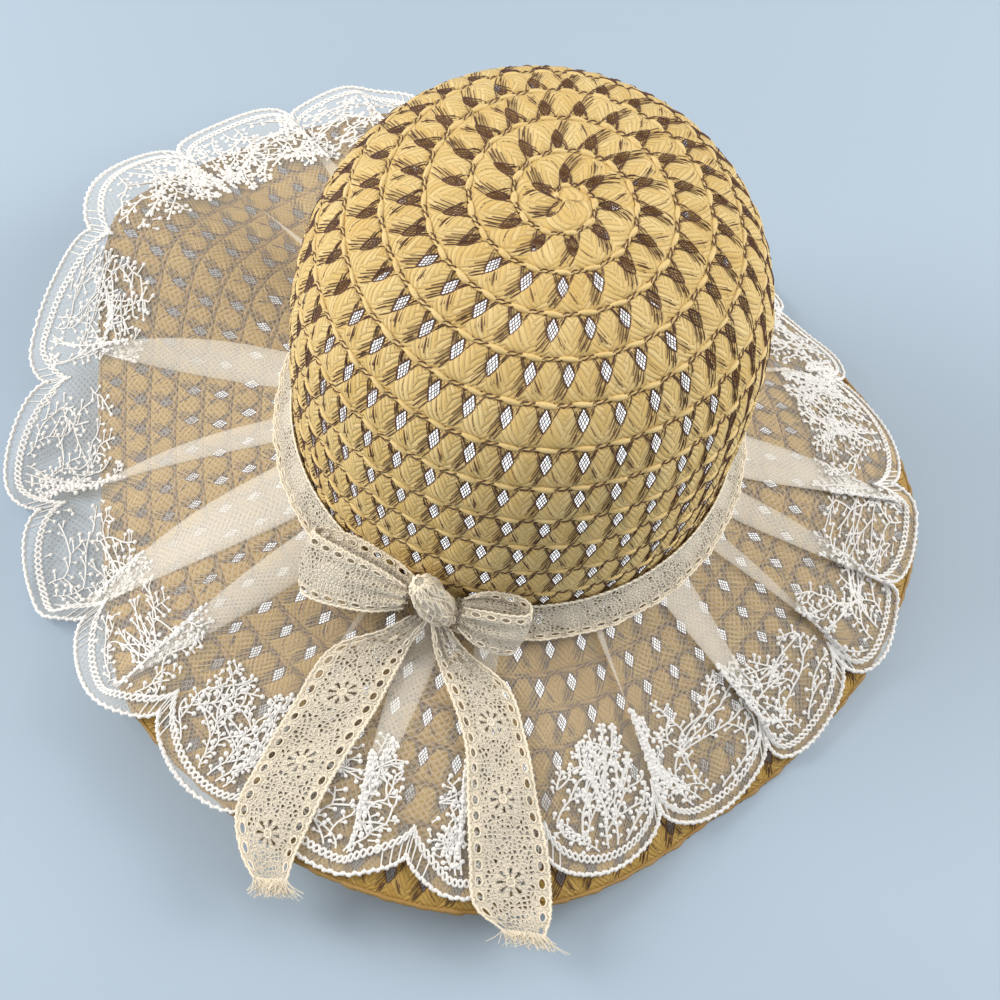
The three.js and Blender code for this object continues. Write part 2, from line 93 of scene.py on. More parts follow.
# Rim of the brim: azimuth, reach, height.
RIM = np.array([
    (0, 191, 16), (15, 187, 11), (30, 180, 2), (38, 176, 0), (56, 174, 0), (70, 177, 4),
    (90, 188, 18), (110, 197, 32), (130, 201, 37), (148, 204, 48), (159, 206, 58),
    (168, 200, 38), (177, 191, 17), (187, 185, 4), (193, 183, 0), (206, 184, 0),
    (214, 189, 10), (228, 198, 24), (242, 199, 24), (256, 204, 24), (270, 205, 21),
    (285, 199, 16), (300, 187, 4), (308, 182, 0), (324, 182, 0), (332, 184, 5), (345, 188, 11),
], float)
# Tips of the tulle's scallops: azimuth, reach.
TULLE_EDGE = np.array([
    (0, 190), (20, 182), (45, 176), (65, 182), (85, 200), (102, 215), (118, 221), (133, 224),
    (150, 229), (168, 227), (187, 225), (203, 216), (220, 208), (236, 203), (265, 202),
    (290, 190), (305, 179), (322, 180), (342, 188),
], float)
# Tails in plan, a row across the ribbon: ax, ay, bx, by and its height above the straw.
LEFT_TAIL = np.array([
    (-27, -102, -20, -103.6, 16.4), (-38, -107, -25, -110.5, 9), (-58, -116, -28, -119, 5),
    (-69, -141, -35, -139.5, 4.7), (-77.3, -162, -45.8, -164.5, 4.7), (-82.9, -180.5, -52.5, -185.5, 4.7),
    (-78, -196, -55.5, -195, 4.7), (-70, -206, -57, -205, 4.7),
])
RIGHT_TAIL = np.array([
    (-18.6, -104, -12, -104.2, 16.4), (-16, -111.5, -2, -110.5, 9), (-10, -122, 16.5, -120, 5),
    (1.5, -143, 26.5, -138, 4.7), (6.5, -165, 35, -160, 4.7), (11, -186.5, 43.5, -181, 4.7),
    (15.5, -202, 47.4, -198.5, 4.7), (29, -209, 46, -208.5, 4.7),
])
# Bow loop from knot to tip and back: share of its length, rise, half width.
LOOP = np.array([
    (0, 0, 5), (0.3, -0.6, 10.5), (0.68, -0.2, 13), (0.92, 1.6, 13.5), (1, 5, 13.5),
    (0.92, 8.6, 13.5), (0.66, 10, 12.5), (0.3, 9, 10), (0, 6.2, 5),
])
LOOPS = {
    "left": dict(start=(-28, -97, 77), end=(-73, -82.9, 67.2), width=1.0, slope=44, gap=0.9, drop=-3.0, cut=0.027),
    "right": dict(start=(-8, -99.6, 77), end=(19.5, -98.5, 70), width=0.78, slope=60, gap=0.85, drop=4.0, cut=0.023),
}


def length_of(name, description, metres):
    """A size in metres."""
    return FloatProperty(name=name, description=description, default=metres, unit="LENGTH")


def colour_of(name, description, rgb):
    """A colour from its three numbers."""
    return FloatVectorProperty(name=name, description=description, default=rgb, subtype="COLOR")


class HatSizes(bpy.types.PropertyGroup):
    """Sizes of the plait, the pleats and the lace."""
    row_pitch: length_of("Plait row", "Height of one row of plait", 0.0159)
    cell_pitch: length_of("Window spacing", "Distance between windows along a row", 0.01391)
    lobe_puff: length_of("Lobe puff", "Swell of the straw between windows", 0.0015)
    window_width: length_of("Window width", "Widest part of an open window", 0.0041)
    yarn_radius: length_of("Yarn radius", "Radius of the brown yarn", 0.00026)
    cord_radius: length_of("Seam cord", "Radius of the straw part of a seam", 0.0013)
    pleats: IntProperty(name="Pleats", description="Pleats of the tulle round the hat", default=20)
    pleat_height: length_of("Pleat height", "Rise of a tulle pleat", 0.0034)
    lace_width: length_of("Lace width", "Width of the lace ribbon", 0.0312)


class HatColours(bpy.types.PropertyGroup):
    """Colours of the straw, yarn, tulle and lace."""
    straw: colour_of("Straw", "Body colour of the straw", (0.70, 0.472, 0.150))
    straw_light: colour_of("Light straw", "Pale strands", (0.90, 0.725, 0.37))
    # Straw creases: the colour of the painted shade in creases and at row edges; seam cords also use it for random
    # dark fibres.
    straw_shade: colour_of("Straw creases", "Creases between strands", (0.30, 0.165, 0.045))
    yarn: colour_of("Yarn", "Brown yarn", (0.085, 0.036, 0.022))
    tulle: colour_of("Tulle", "Sheer net", (0.98, 0.93, 0.82))
    thread: colour_of("Thread", "White embroidery", (0.98, 0.97, 0.95))
    lace: colour_of("Lace", "Cream cotton", (0.98, 0.885, 0.71))
    # Lace shade: the colour of the painted shade in the lace's hollows.
    lace_shade: colour_of("Lace shade", "Cotton in the gaps", (0.66, 0.50, 0.32))
    floor: colour_of("Floor", "Pale floor", (0.37, 0.466, 0.575))


def sizes():
    """The sizes in the sidebar."""
    return bpy.context.scene.hat_sizes


def mm(name):
    """One of the sizes in millimetres."""
    return getattr(sizes(), name) * 1000


def colours():
    """The colours in the sidebar."""
    return bpy.context.scene.hat_colours


# Meshes

def grid_quads(rows, columns, count=1, wrap=False, flip=False):
    """Quads of count grids of rows by columns points; wrap joins the last column to the first."""
    i, j = np.meshgrid(np.arange(rows - 1), np.arange(columns if wrap else columns - 1), indexing="ij")
    k = (j + 1) % columns
    corners = [i * columns + j, i * columns + k, (i + 1) * columns + k, (i + 1) * columns + j]
    quads = np.stack(corners, -1).reshape(-1, 4)
    if flip:
        quads = quads[:, ::-1]
    return (quads[None] + (np.arange(count) * rows * columns)[:, None, None]).reshape(-1, 4)


def make_piece(name, parts, material, replaces=(), weights=None):
    """One object from parts of (points, faces, uv or None); points are millimetres from the crown's axis, and
    weights are named numbers at each point."""
    base = 0
    points, loops, starts, uvs, total = [], [], [], [], 0
    for p, faces, uv in parts:
        p = np.asarray(p, float).reshape(-1, 3)
        points.append(p)
        uv = np.zeros((len(p), 2)) if uv is None else np.asarray(uv, float).reshape(-1, 2)
        for f in faces if isinstance(faces, list) else [faces]:
            loops.append((f + base).ravel())
            starts.append(total + np.arange(0, f.size, f.shape[1]))
            uvs.append(uv[f.ravel()])
            total += f.size
        base += len(p)
    points = (np.concatenate(points) + AXIS) * 0.001
    loops = np.concatenate(loops)
    starts = np.concatenate(starts)
    mesh = bpy.data.meshes.new(name)
    mesh.vertices.add(len(points))
    mesh.vertices.foreach_set("co", points.astype(np.float32).ravel())
    mesh.loops.add(len(loops))
    mesh.loops.foreach_set("vertex_index", loops.astype(np.int32))
    mesh.polygons.add(len(starts))
    mesh.polygons.foreach_set("loop_start", starts.astype(np.int32))
    mesh.update(calc_edges=True)
    mesh.polygons.foreach_set("use_smooth", np.ones(len(starts), bool))
    layer = mesh.uv_layers.new(name="cloth")
    layer.data.foreach_set("uv", np.concatenate(uvs).astype(np.float32).ravel())
    for key, values in (weights or {}).items():
        mesh.attributes.new(key, "FLOAT", "POINT").data.foreach_set("value", values.astype(np.float32).ravel())
    mesh.validate()
    mesh.materials.append(material)
    obj = bpy.data.objects.new(name, mesh)
    bpy.context.scene.collection.objects.link(obj)
    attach(obj, "root")
    if replaces:
        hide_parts(*replaces)
    return obj


def unit(v):
    """Vectors over their own lengths."""
    return v / np.maximum(np.linalg.norm(v, axis=-1, keepdims=True), 1e-9)


def circle(side, up, count):
    """Directions round an axis at count even turns: side * cos + up * sin."""
    turn = 2 * np.pi * np.arange(count)[:, None] / count
    return side[..., None, :] * np.cos(turn) + up[..., None, :] * np.sin(turn)


def tubes(paths, normals, radius, sides):
    """Tubes round many paths: each ring is centre + radius * (side * cos + normal * sin)."""
    paths = np.asarray(paths, float)
    along = unit(np.gradient(paths, axis=1))
    normals = np.broadcast_to(normals, paths.shape)
    up = unit(normals - (normals * along).sum(-1, keepdims=True) * along)
    radius = np.broadcast_to(radius, paths.shape[:2])
    points = paths[:, :, None] + radius[:, :, None, None] * circle(np.cross(up, along), up, sides)
    return points, grid_quads(paths.shape[1], sides, paths.shape[0], wrap=True), None


def run_along(line):
    """Length from a line's first point to each of its points."""
    return np.r_[0, np.cumsum(np.linalg.norm(np.diff(line, axis=0), axis=1))]


def bilinear(grid, i, j):
    """Number or point of a grid at part rows i and part columns j, straight between its four neighbours."""
    a, b = np.minimum(i.astype(int), grid.shape[0] - 2), np.minimum(j.astype(int), grid.shape[1] - 2)
    u, v = i - a, j - b
    if grid.ndim == 3:
        u, v = u[..., None], v[..., None]
    return ((1 - u) * ((1 - v) * grid[a, b] + v * grid[a, b + 1])
            + u * ((1 - v) * grid[a + 1, b] + v * grid[a + 1, b + 1]))


def polar(r, angle, z):
    """Point at radius r, angle in radians and height z: x is r * cos, y is r * sin."""
    return np.stack([r * np.cos(angle), r * np.sin(angle), z], -1)


def through(rows, t):
    """Catmull-Rom curve through rows of numbers at shares t of its length in rows."""
    rows = np.asarray(rows, float)
    ends = np.vstack([2 * rows[0] - rows[1], rows, 2 * rows[-1] - rows[-2]])
    x = np.clip(np.asarray(t, float), 0, 1) * (len(rows) - 1)
    i = np.minimum(x.astype(int), len(rows) - 2)
    f = (x - i)[..., None]
    a, b, c, d = ends[i], ends[i + 1], ends[i + 2], ends[i + 3]
    return 0.5 * (2 * b + (c - a) * f + (2 * a - 5 * b + 4 * c - d) * f**2 + (3 * b - a - 3 * c + d) * f**3)


# Form of the hat

def round_curve(table, column, azimuth):
    """Closed monotone cubic through a table's rows, with slopes that never overshoot."""
    x = np.r_[table[-2:, 0] - 360, table[:, 0], table[:2, 0] + 360]
    y = np.r_[table[-2:, column], table[:, column], table[:2, column]]
    h = np.diff(x)
    d = np.diff(y) / h
    w1 = 2 * h[1:] + h[:-1]
    w2 = h[1:] + 2 * h[:-1]
    same = d[:-1] * d[1:] > 0
    safe0 = np.where(same, d[:-1], 1)
    safe1 = np.where(same, d[1:], 1)
    m = np.zeros(len(x))
    m[1:-1] = np.where(same, (w1 + w2) / (w1 / safe0 + w2 / safe1), 0)
    a = np.mod(azimuth, 360.0)
    i = np.clip(np.searchsorted(x, a, side="right") - 1, 0, len(x) - 2)
    t = (a - x[i]) / h[i]
    s = 1 - t
    ends = s * s * (1 + 2 * t) * y[i] + t * t * (3 - 2 * t) * y[i + 1]
    return ends + h[i] * t * s * (s * m[i] - t * m[i + 1])


def brim_tables(steps=60):
    """Radius, height and normal of the brim's upper face at each degree and share of its length.
    A quadratic bend under the band runs into a straight slope to the rim, bowed up by a sine."""
    az = np.arange(361.0)
    rim = np.stack([round_curve(RIM, 1, az), round_curve(RIM, 2, az)], -1)[:, None]
    u = unit(rim - BRIM_TURN)
    knee = BRIM_TURN + BRIM_BEND * u
    t = np.linspace(0, 1, 13)[None, :, None]
    flare = (1 - t) ** 2 * np.array(SPLIT) + 2 * t * (1 - t) * BRIM_TURN + t * t * knee
    t = np.linspace(0, 1, 33)[None, 1:, None]
    n = np.stack([-u[..., 1], u[..., 0]], -1)
    slope = knee + (rim - knee) * t + BRIM_BOW * np.sin(np.pi * t) * n
    line = np.concatenate([flare, slope], 1)
    run = np.concatenate([np.zeros((361, 1)), np.cumsum(np.linalg.norm(np.diff(line, axis=1), axis=-1), 1)], 1)
    share = np.linspace(0, 1, steps + 1)
    r, z = (np.stack([np.interp(share * w[-1], w, p[:, i]) for w, p in zip(run, line)]) for i in (0, 1))
    d = unit(np.stack([np.gradient(r, axis=1), np.gradient(z, axis=1)], -1))
    return dict(r=r, z=z, nr=-d[..., 1], nz=d[..., 0], length=run[:, -1], steps=steps)


BRIM = brim_tables()


def brim_length(azimuth):
    """Length of the brim's profile at an azimuth, straight between whole degrees."""
    return np.interp(np.mod(azimuth, 360), np.arange(361), BRIM["length"])


def on_brim(azimuth, share, lift, over=0.0):
    """Point lifted square off the brim at a share of its length, or past its rim, where it levels out."""
    azimuth, share, lift, over = np.broadcast_arrays(azimuth, share, lift, over)
    at = np.mod(azimuth, 360), np.clip(share, 0, 1) * BRIM["steps"]
    r, z, nr, nz = (bilinear(BRIM[key], *at) for key in ("r", "z", "nr", "nz"))
    drop = np.minimum(z * 0.5, over * RIM_DROP)
    return polar(r + nr * lift + over, np.radians(azimuth), z + nz * lift - drop)


def on_straw(azimuth, length, lift):
    """Point by length down from the hidden split line; negative lengths run up the crown's wall."""
    azimuth, length, lift = np.broadcast_arrays(azimuth, length, lift)
    total = brim_length(azimuth)
    low = on_brim(azimuth, np.maximum(length, 0) / total, lift, np.maximum(length - total, 0))
    wall = polar(SPLIT[0] + lift, np.radians(azimuth), SPLIT[1] - length)
    return np.where((length < 0)[..., None], wall, low)


def straw_height(x, y):
    """Height of the brim's upper face under points in plan, found on each azimuth's profile."""
    azimuth = np.mod(np.degrees(np.arctan2(y, x)), 360)
    r = np.hypot(x, y)
    share = np.linspace(0, 1, 241)
    p = on_brim(azimuth[..., None], share, 0.0)
    pr = np.hypot(p[..., 0], p[..., 1])
    k = np.argmin(np.abs(pr - r[..., None]), -1)
    z = np.take_along_axis(p[..., 2], k[..., None], -1)[..., 0]
    over = np.maximum(r - pr[..., -1], 0)
    return z - np.minimum(z * 0.5, over * RIM_DROP)


def crown_profile():
    """Crown from tip to split: a superellipse dome, a wall that swells by a quarter sine, a short foot."""
    a = np.linspace(np.pi / 2, 0, 121)
    r = DOME["radius"] * np.cos(a) ** DOME["power"]
    z = BAND_TOP + WALL_HEIGHT + DOME["height"] * np.sin(a) ** DOME["power"]
    r[0] = 0
    t = np.linspace(1, 0, 25)[1:]
    r = np.r_[r, FOOT_RADIUS + (DOME["radius"] - FOOT_RADIUS) * np.sin(t * np.pi / 2), SPLIT[0]]
    z = np.r_[z, BAND_TOP + WALL_HEIGHT * t, SPLIT[1] + 0.3]
    s = run_along(np.stack([r, z], -1))
    even = np.linspace(0, s[-1], 400)
    r, z = np.interp(even, s, r), np.interp(even, s, z)
    d = unit(np.stack([np.gradient(r), np.gradient(z)], -1))
    return even, r, z, -d[:, 1], d[:, 0]


CROWN = crown_profile()


def on_crown(length, turn, lift):
    """Point on the crown by length from the coil's tip and angle in radians. The coil starts off the dome's own
    top, by a shift that fades with the square of the radius, and the crown leans back with height."""
    s, r, z, nr, nz = CROWN
    widest = int(np.argmax(r))
    radius = np.interp(length, s, r)
    on_dome = length < s[widest]
    away = np.where(on_dome, 1 - (radius / r[widest]) ** 2, 0)
    x, y = radius * np.cos(turn) + COIL_TIP[0] * away, radius * np.sin(turn) + COIL_TIP[1] * away
    length = np.where(on_dome, np.interp(np.hypot(x, y), r[: widest + 1], s[: widest + 1]), length)
    angle = np.arctan2(y, x)
    radius = np.interp(length, s, r) + np.interp(length, s, nr) * lift
    height = np.interp(length, s, z) + np.interp(length, s, nz) * lift
    t = np.maximum(0, height - BAND_TOP)
    lean = t * t / (t + LEAN_EASE)
    return polar(radius, angle, height) + lean[..., None] * np.array([*LEAN, 0.0])


# Shaders

class Value:
    """A shader socket whose operators add Math nodes."""

    def __init__(self, tree, socket):
        self.tree = tree
        self.socket = socket

    def math(self, operation, *others):
        node = self.tree.nodes.new("ShaderNodeMath")
        node.operation = operation
        for slot, item in zip(node.inputs, (self, *others)):
            if isinstance(item, Value):
                self.tree.links.new(item.socket, slot)
            else:
                slot.default_value = item
        return Value(self.tree, node.outputs[0])

    def __add__(self, other):
        return self.math("ADD", other)

    __radd__ = __add__

    def __mul__(self, other):
        return self.math("MULTIPLY", other)

    __rmul__ = __mul__

    def __sub__(self, other):
        return self.math("SUBTRACT", other)

    def __rsub__(self, other):
        return (self * -1.0).math("ADD", other)

    def __truediv__(self, other):
        return self.math("DIVIDE", other)

    def __abs__(self):
        return self.math("ABSOLUTE")

    def floor(self):
        return self.math("FLOOR")

    def fract(self):
        return self.math("FRACT")

    def clamp(self):
        return self.math("MAXIMUM", 0.0).math("MINIMUM", 1.0)

    def above(self, edge, soft):
        """0 below edge and 1 above it, over a soft width."""
        return ((self - edge) / soft + 0.5).clamp()


class Finish:
    """A material with one method that adds any node."""

    def __init__(self, name):
        self.material = bpy.data.materials.new(name)
        self.material.use_nodes = True
        self.tree = self.material.node_tree
        self.tree.nodes.clear()
        self.shader = self.node("ShaderNodeBsdfPrincipled")
        out = self.node("ShaderNodeOutputMaterial")
        self.tree.links.new(self.shader.outputs[0], out.inputs[0])

    def node(self, kind, settings=None, inputs=None):
        node = self.tree.nodes.new(kind)
        for key, value in (settings or {}).items():
            setattr(node, key, value)
        for key, value in (inputs or {}).items():
            self.put(node.inputs[key], value)
        return node

    def put(self, slot, value):
        if isinstance(value, Value):
            self.tree.links.new(value.socket, slot)
        elif hasattr(value, "is_output"):
            self.tree.links.new(value, slot)
        else:
            slot.default_value = value

    def set(self, **inputs):
        for key, value in inputs.items():
            self.put(self.shader.inputs[key.replace("_", " ")], value)

    def value(self, socket):
        return Value(self.tree, socket)

    def uv(self):
        """The piece's own cloth coordinates, on cloth in centimetres, as two values and a vector."""
        at = self.node("ShaderNodeUVMap", {"uv_map": "cloth"})
        split = self.node("ShaderNodeSeparateXYZ", None, {"Vector": at.outputs[0]})
        return self.value(split.outputs[0]), self.value(split.outputs[1]), at.outputs[0]

    def place(self):
        return self.node("ShaderNodeTexCoord").outputs["Object"]

    def weight(self, name):
        return self.value(self.node("ShaderNodeAttribute", {"attribute_name": name}).outputs["Fac"])

    def noise(self, vector, scale, detail=2.0, rough=0.5, flat=False):
        node = self.node("ShaderNodeTexNoise", {"noise_dimensions": "2D" if flat else "3D"},
                         {"Vector": vector, "Scale": scale, "Detail": detail, "Roughness": rough})
        return self.value(node.outputs[0])

    def vector(self, x, y, z=0.0):
        return self.node("ShaderNodeCombineXYZ", None, {"X": x, "Y": y, "Z": z}).outputs[0]

    def chance(self, vector):
        return self.value(self.node("ShaderNodeTexWhiteNoise", None, {"Vector": vector}).outputs["Value"])

    def mix(self, factor, a, b):
        node = self.node("ShaderNodeMix", {"data_type": "RGBA"})
        self.put(node.inputs[0], factor)
        for slot, item in ((node.inputs[6], a), (node.inputs[7], b)):
            self.put(slot, item if hasattr(item, "is_output") else (*item, 1.0))
        return node.outputs[2]

    def bump(self, height, depth, strength=1.0):
        node = self.node("ShaderNodeBump", None, {"Height": height, "Strength": strength, "Distance": depth})
        self.put(self.shader.inputs["Normal"], node.outputs[0])


def straw_tones(tint):
    """Body, pale and dark straw, each multiplied by a tint, which on the brim is painted shade."""
    c = colours()
    return (tuple(a * b for a, b in zip(x, tint)) for x in (c.straw, c.straw_light, c.straw_shade))


def straw_finish(name, tint):
    """Strands run down both diagonals and meet in a zigzag chevron; each has its own random tone, with painted shade
    in the crease between strands and along the edges of the row.
    """
    f = Finish(name)
    body, pale, dark = straw_tones(tint)
    u, v, _ = f.uv()
    e = v * 2.0 - 1.0
    warp = f.noise(f.place(), 160.0, 2.0) - 0.5
    x = u.fract() * 14.0 - 7.0 + warp * 1.6
    bend = (e * 0.6 + e * e * e * 0.4) * 6.5 + warp * 1.4
    left = (x + ((e * 2.4).fract() - 0.5) * 2.6).above(0.0, 0.05)
    strand = (x - bend) * (1.0 - left) + (x + bend) * left
    step = 2.1
    across = (strand / step).fract()
    shade = f.chance(f.vector((strand / step).floor(), u.floor(), left))
    lobe = f.chance(f.vector(u.floor(), 3.0))
    # Painted shade in the crease between neighbouring strands.
    crease = abs(across * 2.0 - 1.0).above(0.82, 0.4)
    fibre = f.noise(f.vector(strand * 2.8, e * 1.8, u.floor()), 1.0, 3.0, 0.65)
    wide = f.noise(f.place(), 22.0, 2.0)
    tone = (shade * 0.45 + lobe * 0.2 + fibre * 0.6 + wide * 0.4 - 0.45).clamp()
    base = f.mix(tone, body, pale)
    # Dark straw mixed in as painted shade in the creases, and as random fibre tone.
    base = f.mix((crease * (shade * 0.4 + 0.28) + (0.45 - fibre) * 0.6).clamp(), base, dark)
    # Painted shade along both edges of each row, where the rows meet.
    base = f.mix(abs(e).above(0.88, 0.22) * 0.45, base, dark)
    f.set(Base_Color=base, Roughness=0.48 + fibre * 0.22)
    f.shader.inputs["Specular IOR Level"].default_value = 0.35
    mound = 1.0 - (across * 2.0 - 1.0) * (across * 2.0 - 1.0)
    f.bump(mound * 0.7 + fibre * 0.6, 0.0006, 0.8)
    return f.material


def cord_finish(name, tint):
    """Seam cord: one straw strand wound along its length, with fibres and pale patches."""
    f = Finish(name)
    body, pale, dark = straw_tones(tint)
    fibre = f.noise(f.place(), 900.0, 3.0, 0.6)
    wide = f.noise(f.place(), 60.0, 2.0)
    base = f.mix((wide * 0.8 + fibre * 0.5 - 0.2).clamp(), body, pale)
    base = f.mix(fibre.above(0.62, 0.15) * 0.4, base, dark)
    f.set(Base_Color=base, Roughness=0.42 + fibre * 0.25)
    f.bump(fibre, 0.0003, 0.6)
    return f.material


def yarn_finish(name):
    """Brown yarn with lighter fibres."""
    f = Finish(name)
    c = colours()
    fibre = f.noise(f.place(), 1500.0, 2.0)
    wide = f.noise(f.place(), 90.0, 2.0)
    light = tuple(min(1.0, 2.3 * x) for x in c.yarn)
    base = f.mix((fibre * 0.5 + wide * 0.7 - 0.3).clamp(), tuple(c.yarn), light)
    f.set(Base_Color=base, Roughness=0.55 + fibre * 0.3)
    f.bump(fibre, 0.0002, 0.5)
    return f.material


def tulle_finish(name):
    """Sheer net: two sets of fine threads with clear gaps, so layers add up to a whiter veil."""
    f = Finish(name)
    c = colours()
    u, v, _ = f.uv()
    a = u * 10.0
    b = v * 10.0
    one, two = (abs(way.fract() * 2.0 - 1.0).above(0.62, 0.3) for way in (a * 0.60 + b * 0.35, a * 0.60 - b * 0.35))
    net = one.math("MAXIMUM", two)
    wide = f.noise(f.place(), 30.0, 1.0)
    f.set(Base_Color=f.mix(wide, tuple(c.tulle), (0.97, 0.94, 0.87)), Roughness=0.75 + wide * 0.2,
          Alpha=net * 0.13 + 0.13 + f.weight("doubled") * 0.31)
    return f.material


def thread_finish(name):
    """Shiny white embroidery thread, wound, with faint painted shade between the stitches."""
    f = Finish(name)
    c = colours()
    stitch = f.noise(f.place(), 1400.0, 2.0)
    wide = f.noise(f.place(), 40.0, 2.0)
    # Darker white mixed in by noise as painted shade between the stitches.
    base = f.mix((stitch * 0.6 + wide * 0.3 - 0.2).clamp(), tuple(0.9 * x for x in c.thread), tuple(c.thread))
    f.set(Base_Color=base, Roughness=0.45 + stitch * 0.25)
    f.shader.inputs["Sheen Weight"].default_value = 0.2
    f.bump(stitch, 0.0003, 0.6)
    return f.material


def lace_finish(name, open_work=True, wheels=True):
    """Crochet lace: eyelets down both edges, wheels of petals down the middle and small gaps, all cut by alpha, with
    painted shade in the hollows between threads.
    """
    f = Finish(name)
    c = colours()
    u, v, uv = f.uv()
    x = u * 10.0
    y = v * 10.0
    knots = f.node("ShaderNodeTexVoronoi", {"feature": "DISTANCE_TO_EDGE", "voronoi_dimensions": "2D"},
                   {"Vector": uv, "Scale": 5.4, "Randomness": 0.9})
    gap = f.value(knots.outputs["Distance"])
    threads = f.noise(uv, 26.0, 2.0, 0.6, True)
    clump = f.noise(uv, 2.2, 1.0, 0.5, True)
    ring = ((y / LACE_REPEAT).fract() - 0.5) * LACE_REPEAT
    radius = (x * x + ring * ring).math("SQRT") + (clump - 0.5) * 2.4
    turn = ring.math("ARCTAN2", x) + (threads - 0.5) * 0.5
    solid = clump.above(0.5, 0.2) * 0.12 + (1.0 - radius.above(6.6, 0.6)) * 0.3 + abs(x).above(9.3, 0.5) * 0.3
    small = (gap - solid).above(0.26, 0.06)
    petal = (turn * 8.0).math("COSINE").above(0.95 - radius * 0.1, 0.4)
    wheel = petal * (1.0 - abs(radius - 3.7).above(1.5, 0.6))
    ey = ((y / EYELET_PITCH).fract() - 0.5) * EYELET_PITCH / 1.8
    ex = (abs(x) - EYELET_AT) / 1.15
    eyelet = 1.0 - (ex * ex + ey * ey).math("SQRT").above(1.0 + (threads - 0.5) * 0.6, 0.25)
    picot = abs((y / EYELET_PITCH * 2.0).fract() * 2.0 - 1.0)
    edge = abs(x).above(PICOT_AT - picot * 0.9, 0.3)
    holes = small.math("MAXIMUM", eyelet)
    if wheels:
        holes = holes.math("MAXIMUM", wheel)
    raised = 1.0 - gap.above(0.12, 0.2)
    relief = raised * 0.8 + threads * 0.7
    # Painted shade: darker towards lace_shade in the hollows between raised threads, and partly the random tone of the
    # thread texture.
    deep = (1.0 - raised) * 0.10 + (0.45 - threads) * 0.6
    base = f.mix(deep.clamp(), tuple(c.lace), tuple(c.lace_shade))
    wide = f.noise(f.place(), 60.0, 2.0)
    base = f.mix(wide * 0.3, base, (0.98, 0.90, 0.76))
    f.set(Base_Color=base, Roughness=0.75 + threads * 0.2)
    if open_work:
        f.set(Alpha=1.0 - holes.math("MAXIMUM", edge))
    f.shader.inputs["Sheen Weight"].default_value = 0.25
    f.bump(relief - holes * 0.5, 0.0008, 0.9)
    return f.material


def floor_finish(name):
    """Pale floor with a faint cloudy change of tone."""
    f = Finish(name)
    c = colours()
    wide = f.noise(f.place(), 1.4, 2.0)
    f.set(Base_Color=f.mix(wide, tuple(c.floor), tuple(min(1.0, 1.12 * x) for x in c.floor)), Roughness=0.55)
    return f.material


MADE = {}


def finish(name, make, *args):
    """The material of that name, made the first time it is asked for."""
    if name not in MADE:
        MADE[name] = make(name, *args)
    return MADE[name]


# Plait

def crown_rows():
    """One long coil wound in from the split: turn m grows by one a round while the row's number falls by one,
    and length u is the sum of 2 pi r over m."""
    pitch = mm("row_pitch")
    total = CROWN[0][-1]
    m = np.linspace(COIL_TURNS - total / pitch - 0.1, COIL_TURNS + 0.8, 6000)
    r = np.interp(np.clip(pitch * (COIL_TURNS - m + 0.5), 0, total), CROWN[0], CROWN[1])
    u = np.r_[0, np.cumsum(2 * np.pi * 0.5 * (r[1:] + r[:-1]) * np.diff(m))]
    count = int(round(u[-1] / mm("cell_pitch")))

    def place(row, along, across, lift):
        """Point by length along the coil and share across it."""
        turn = np.interp(along, u, m)
        s = np.clip(pitch * (COIL_TURNS - turn + 0.5 + across), 0.2, total)
        return on_crown(s, 2 * np.pi * turn, lift)

    step = u[-1] / count
    return place, np.zeros(count, int), np.arange(count) * step, np.full(count, step)


def brim_rows():
    """Closed rounds: each row's length comes from its middle line, and its windows are spaced evenly."""
    az = np.linspace(0, 360, 721)
    starts, rows, pitches, lines = [], [], [], []
    for row in range(BRIM_ROWS):
        p = on_brim(az, (row + 0.5) / BRIM_ROWS, 0.0)
        u = run_along(p)
        count = int(round(u[-1] / mm("cell_pitch")))
        lines.append(u)
        starts.append((np.arange(count) + ROW_STAGGER * row) * u[-1] / count)
        rows.append(np.full(count, row))
        pitches.append(np.full(count, u[-1] / count))
    round_length = np.array([u[-1] for u in lines])
    shift = np.r_[0, np.cumsum(round_length + 1)]
    lengths = np.concatenate([u + s for u, s in zip(lines, shift)])
    angles = np.tile(az, BRIM_ROWS)

    def place(row, along, across, lift):
        """Point by round, length along it and share across it."""
        turn = np.interp(np.mod(along, round_length[row]) + shift[row], lengths, angles)
        return on_brim(turn, (row + 0.5 + across) / BRIM_ROWS, lift)

    return place, np.concatenate(rows), np.concatenate(starts), np.concatenate(pitches)


def window_width(across):
    """Half width of a window at a share across the row: a rounded rhombus."""
    d = np.abs(across - WINDOW_AT) / WINDOW_HALF
    return mm("window_width") / 2 * np.maximum(0, 1 - d**1.5)


def lobe_lift(along, across):
    """Swell of the straw by shares along and across a cell: level over the row, down at seams and beside windows."""
    d = np.abs(np.mod(along + 0.5, 1.0) - 0.5)
    near = np.exp(-((d / 0.2) ** 2))
    beside = np.exp(-(((across - WINDOW_AT) / 0.3) ** 2))
    level = np.maximum(0, 1 - np.abs(2 * across) ** 6) ** 0.7
    return mm("lobe_puff") * level * (1 - near * (0.2 + 0.6 * beside))


# Brown strands of one cell, millimetres from its window's middle: how many, from, to, and the step between them.
STRANDS = (
    (2, (-0.4, 4.4), (-2.4, 8.4), (-1.7, 0.2)),
    (1, (2.3, 2.2), (4.2, 6.0), (0.0, 0.0)),
    (1, (2.6, -1.4), (4.2, -4.8), (0.0, 0.0)),
    (1, (-2.5, -1.6), (-4.2, -4.8), (0.0, 0.0)),
)


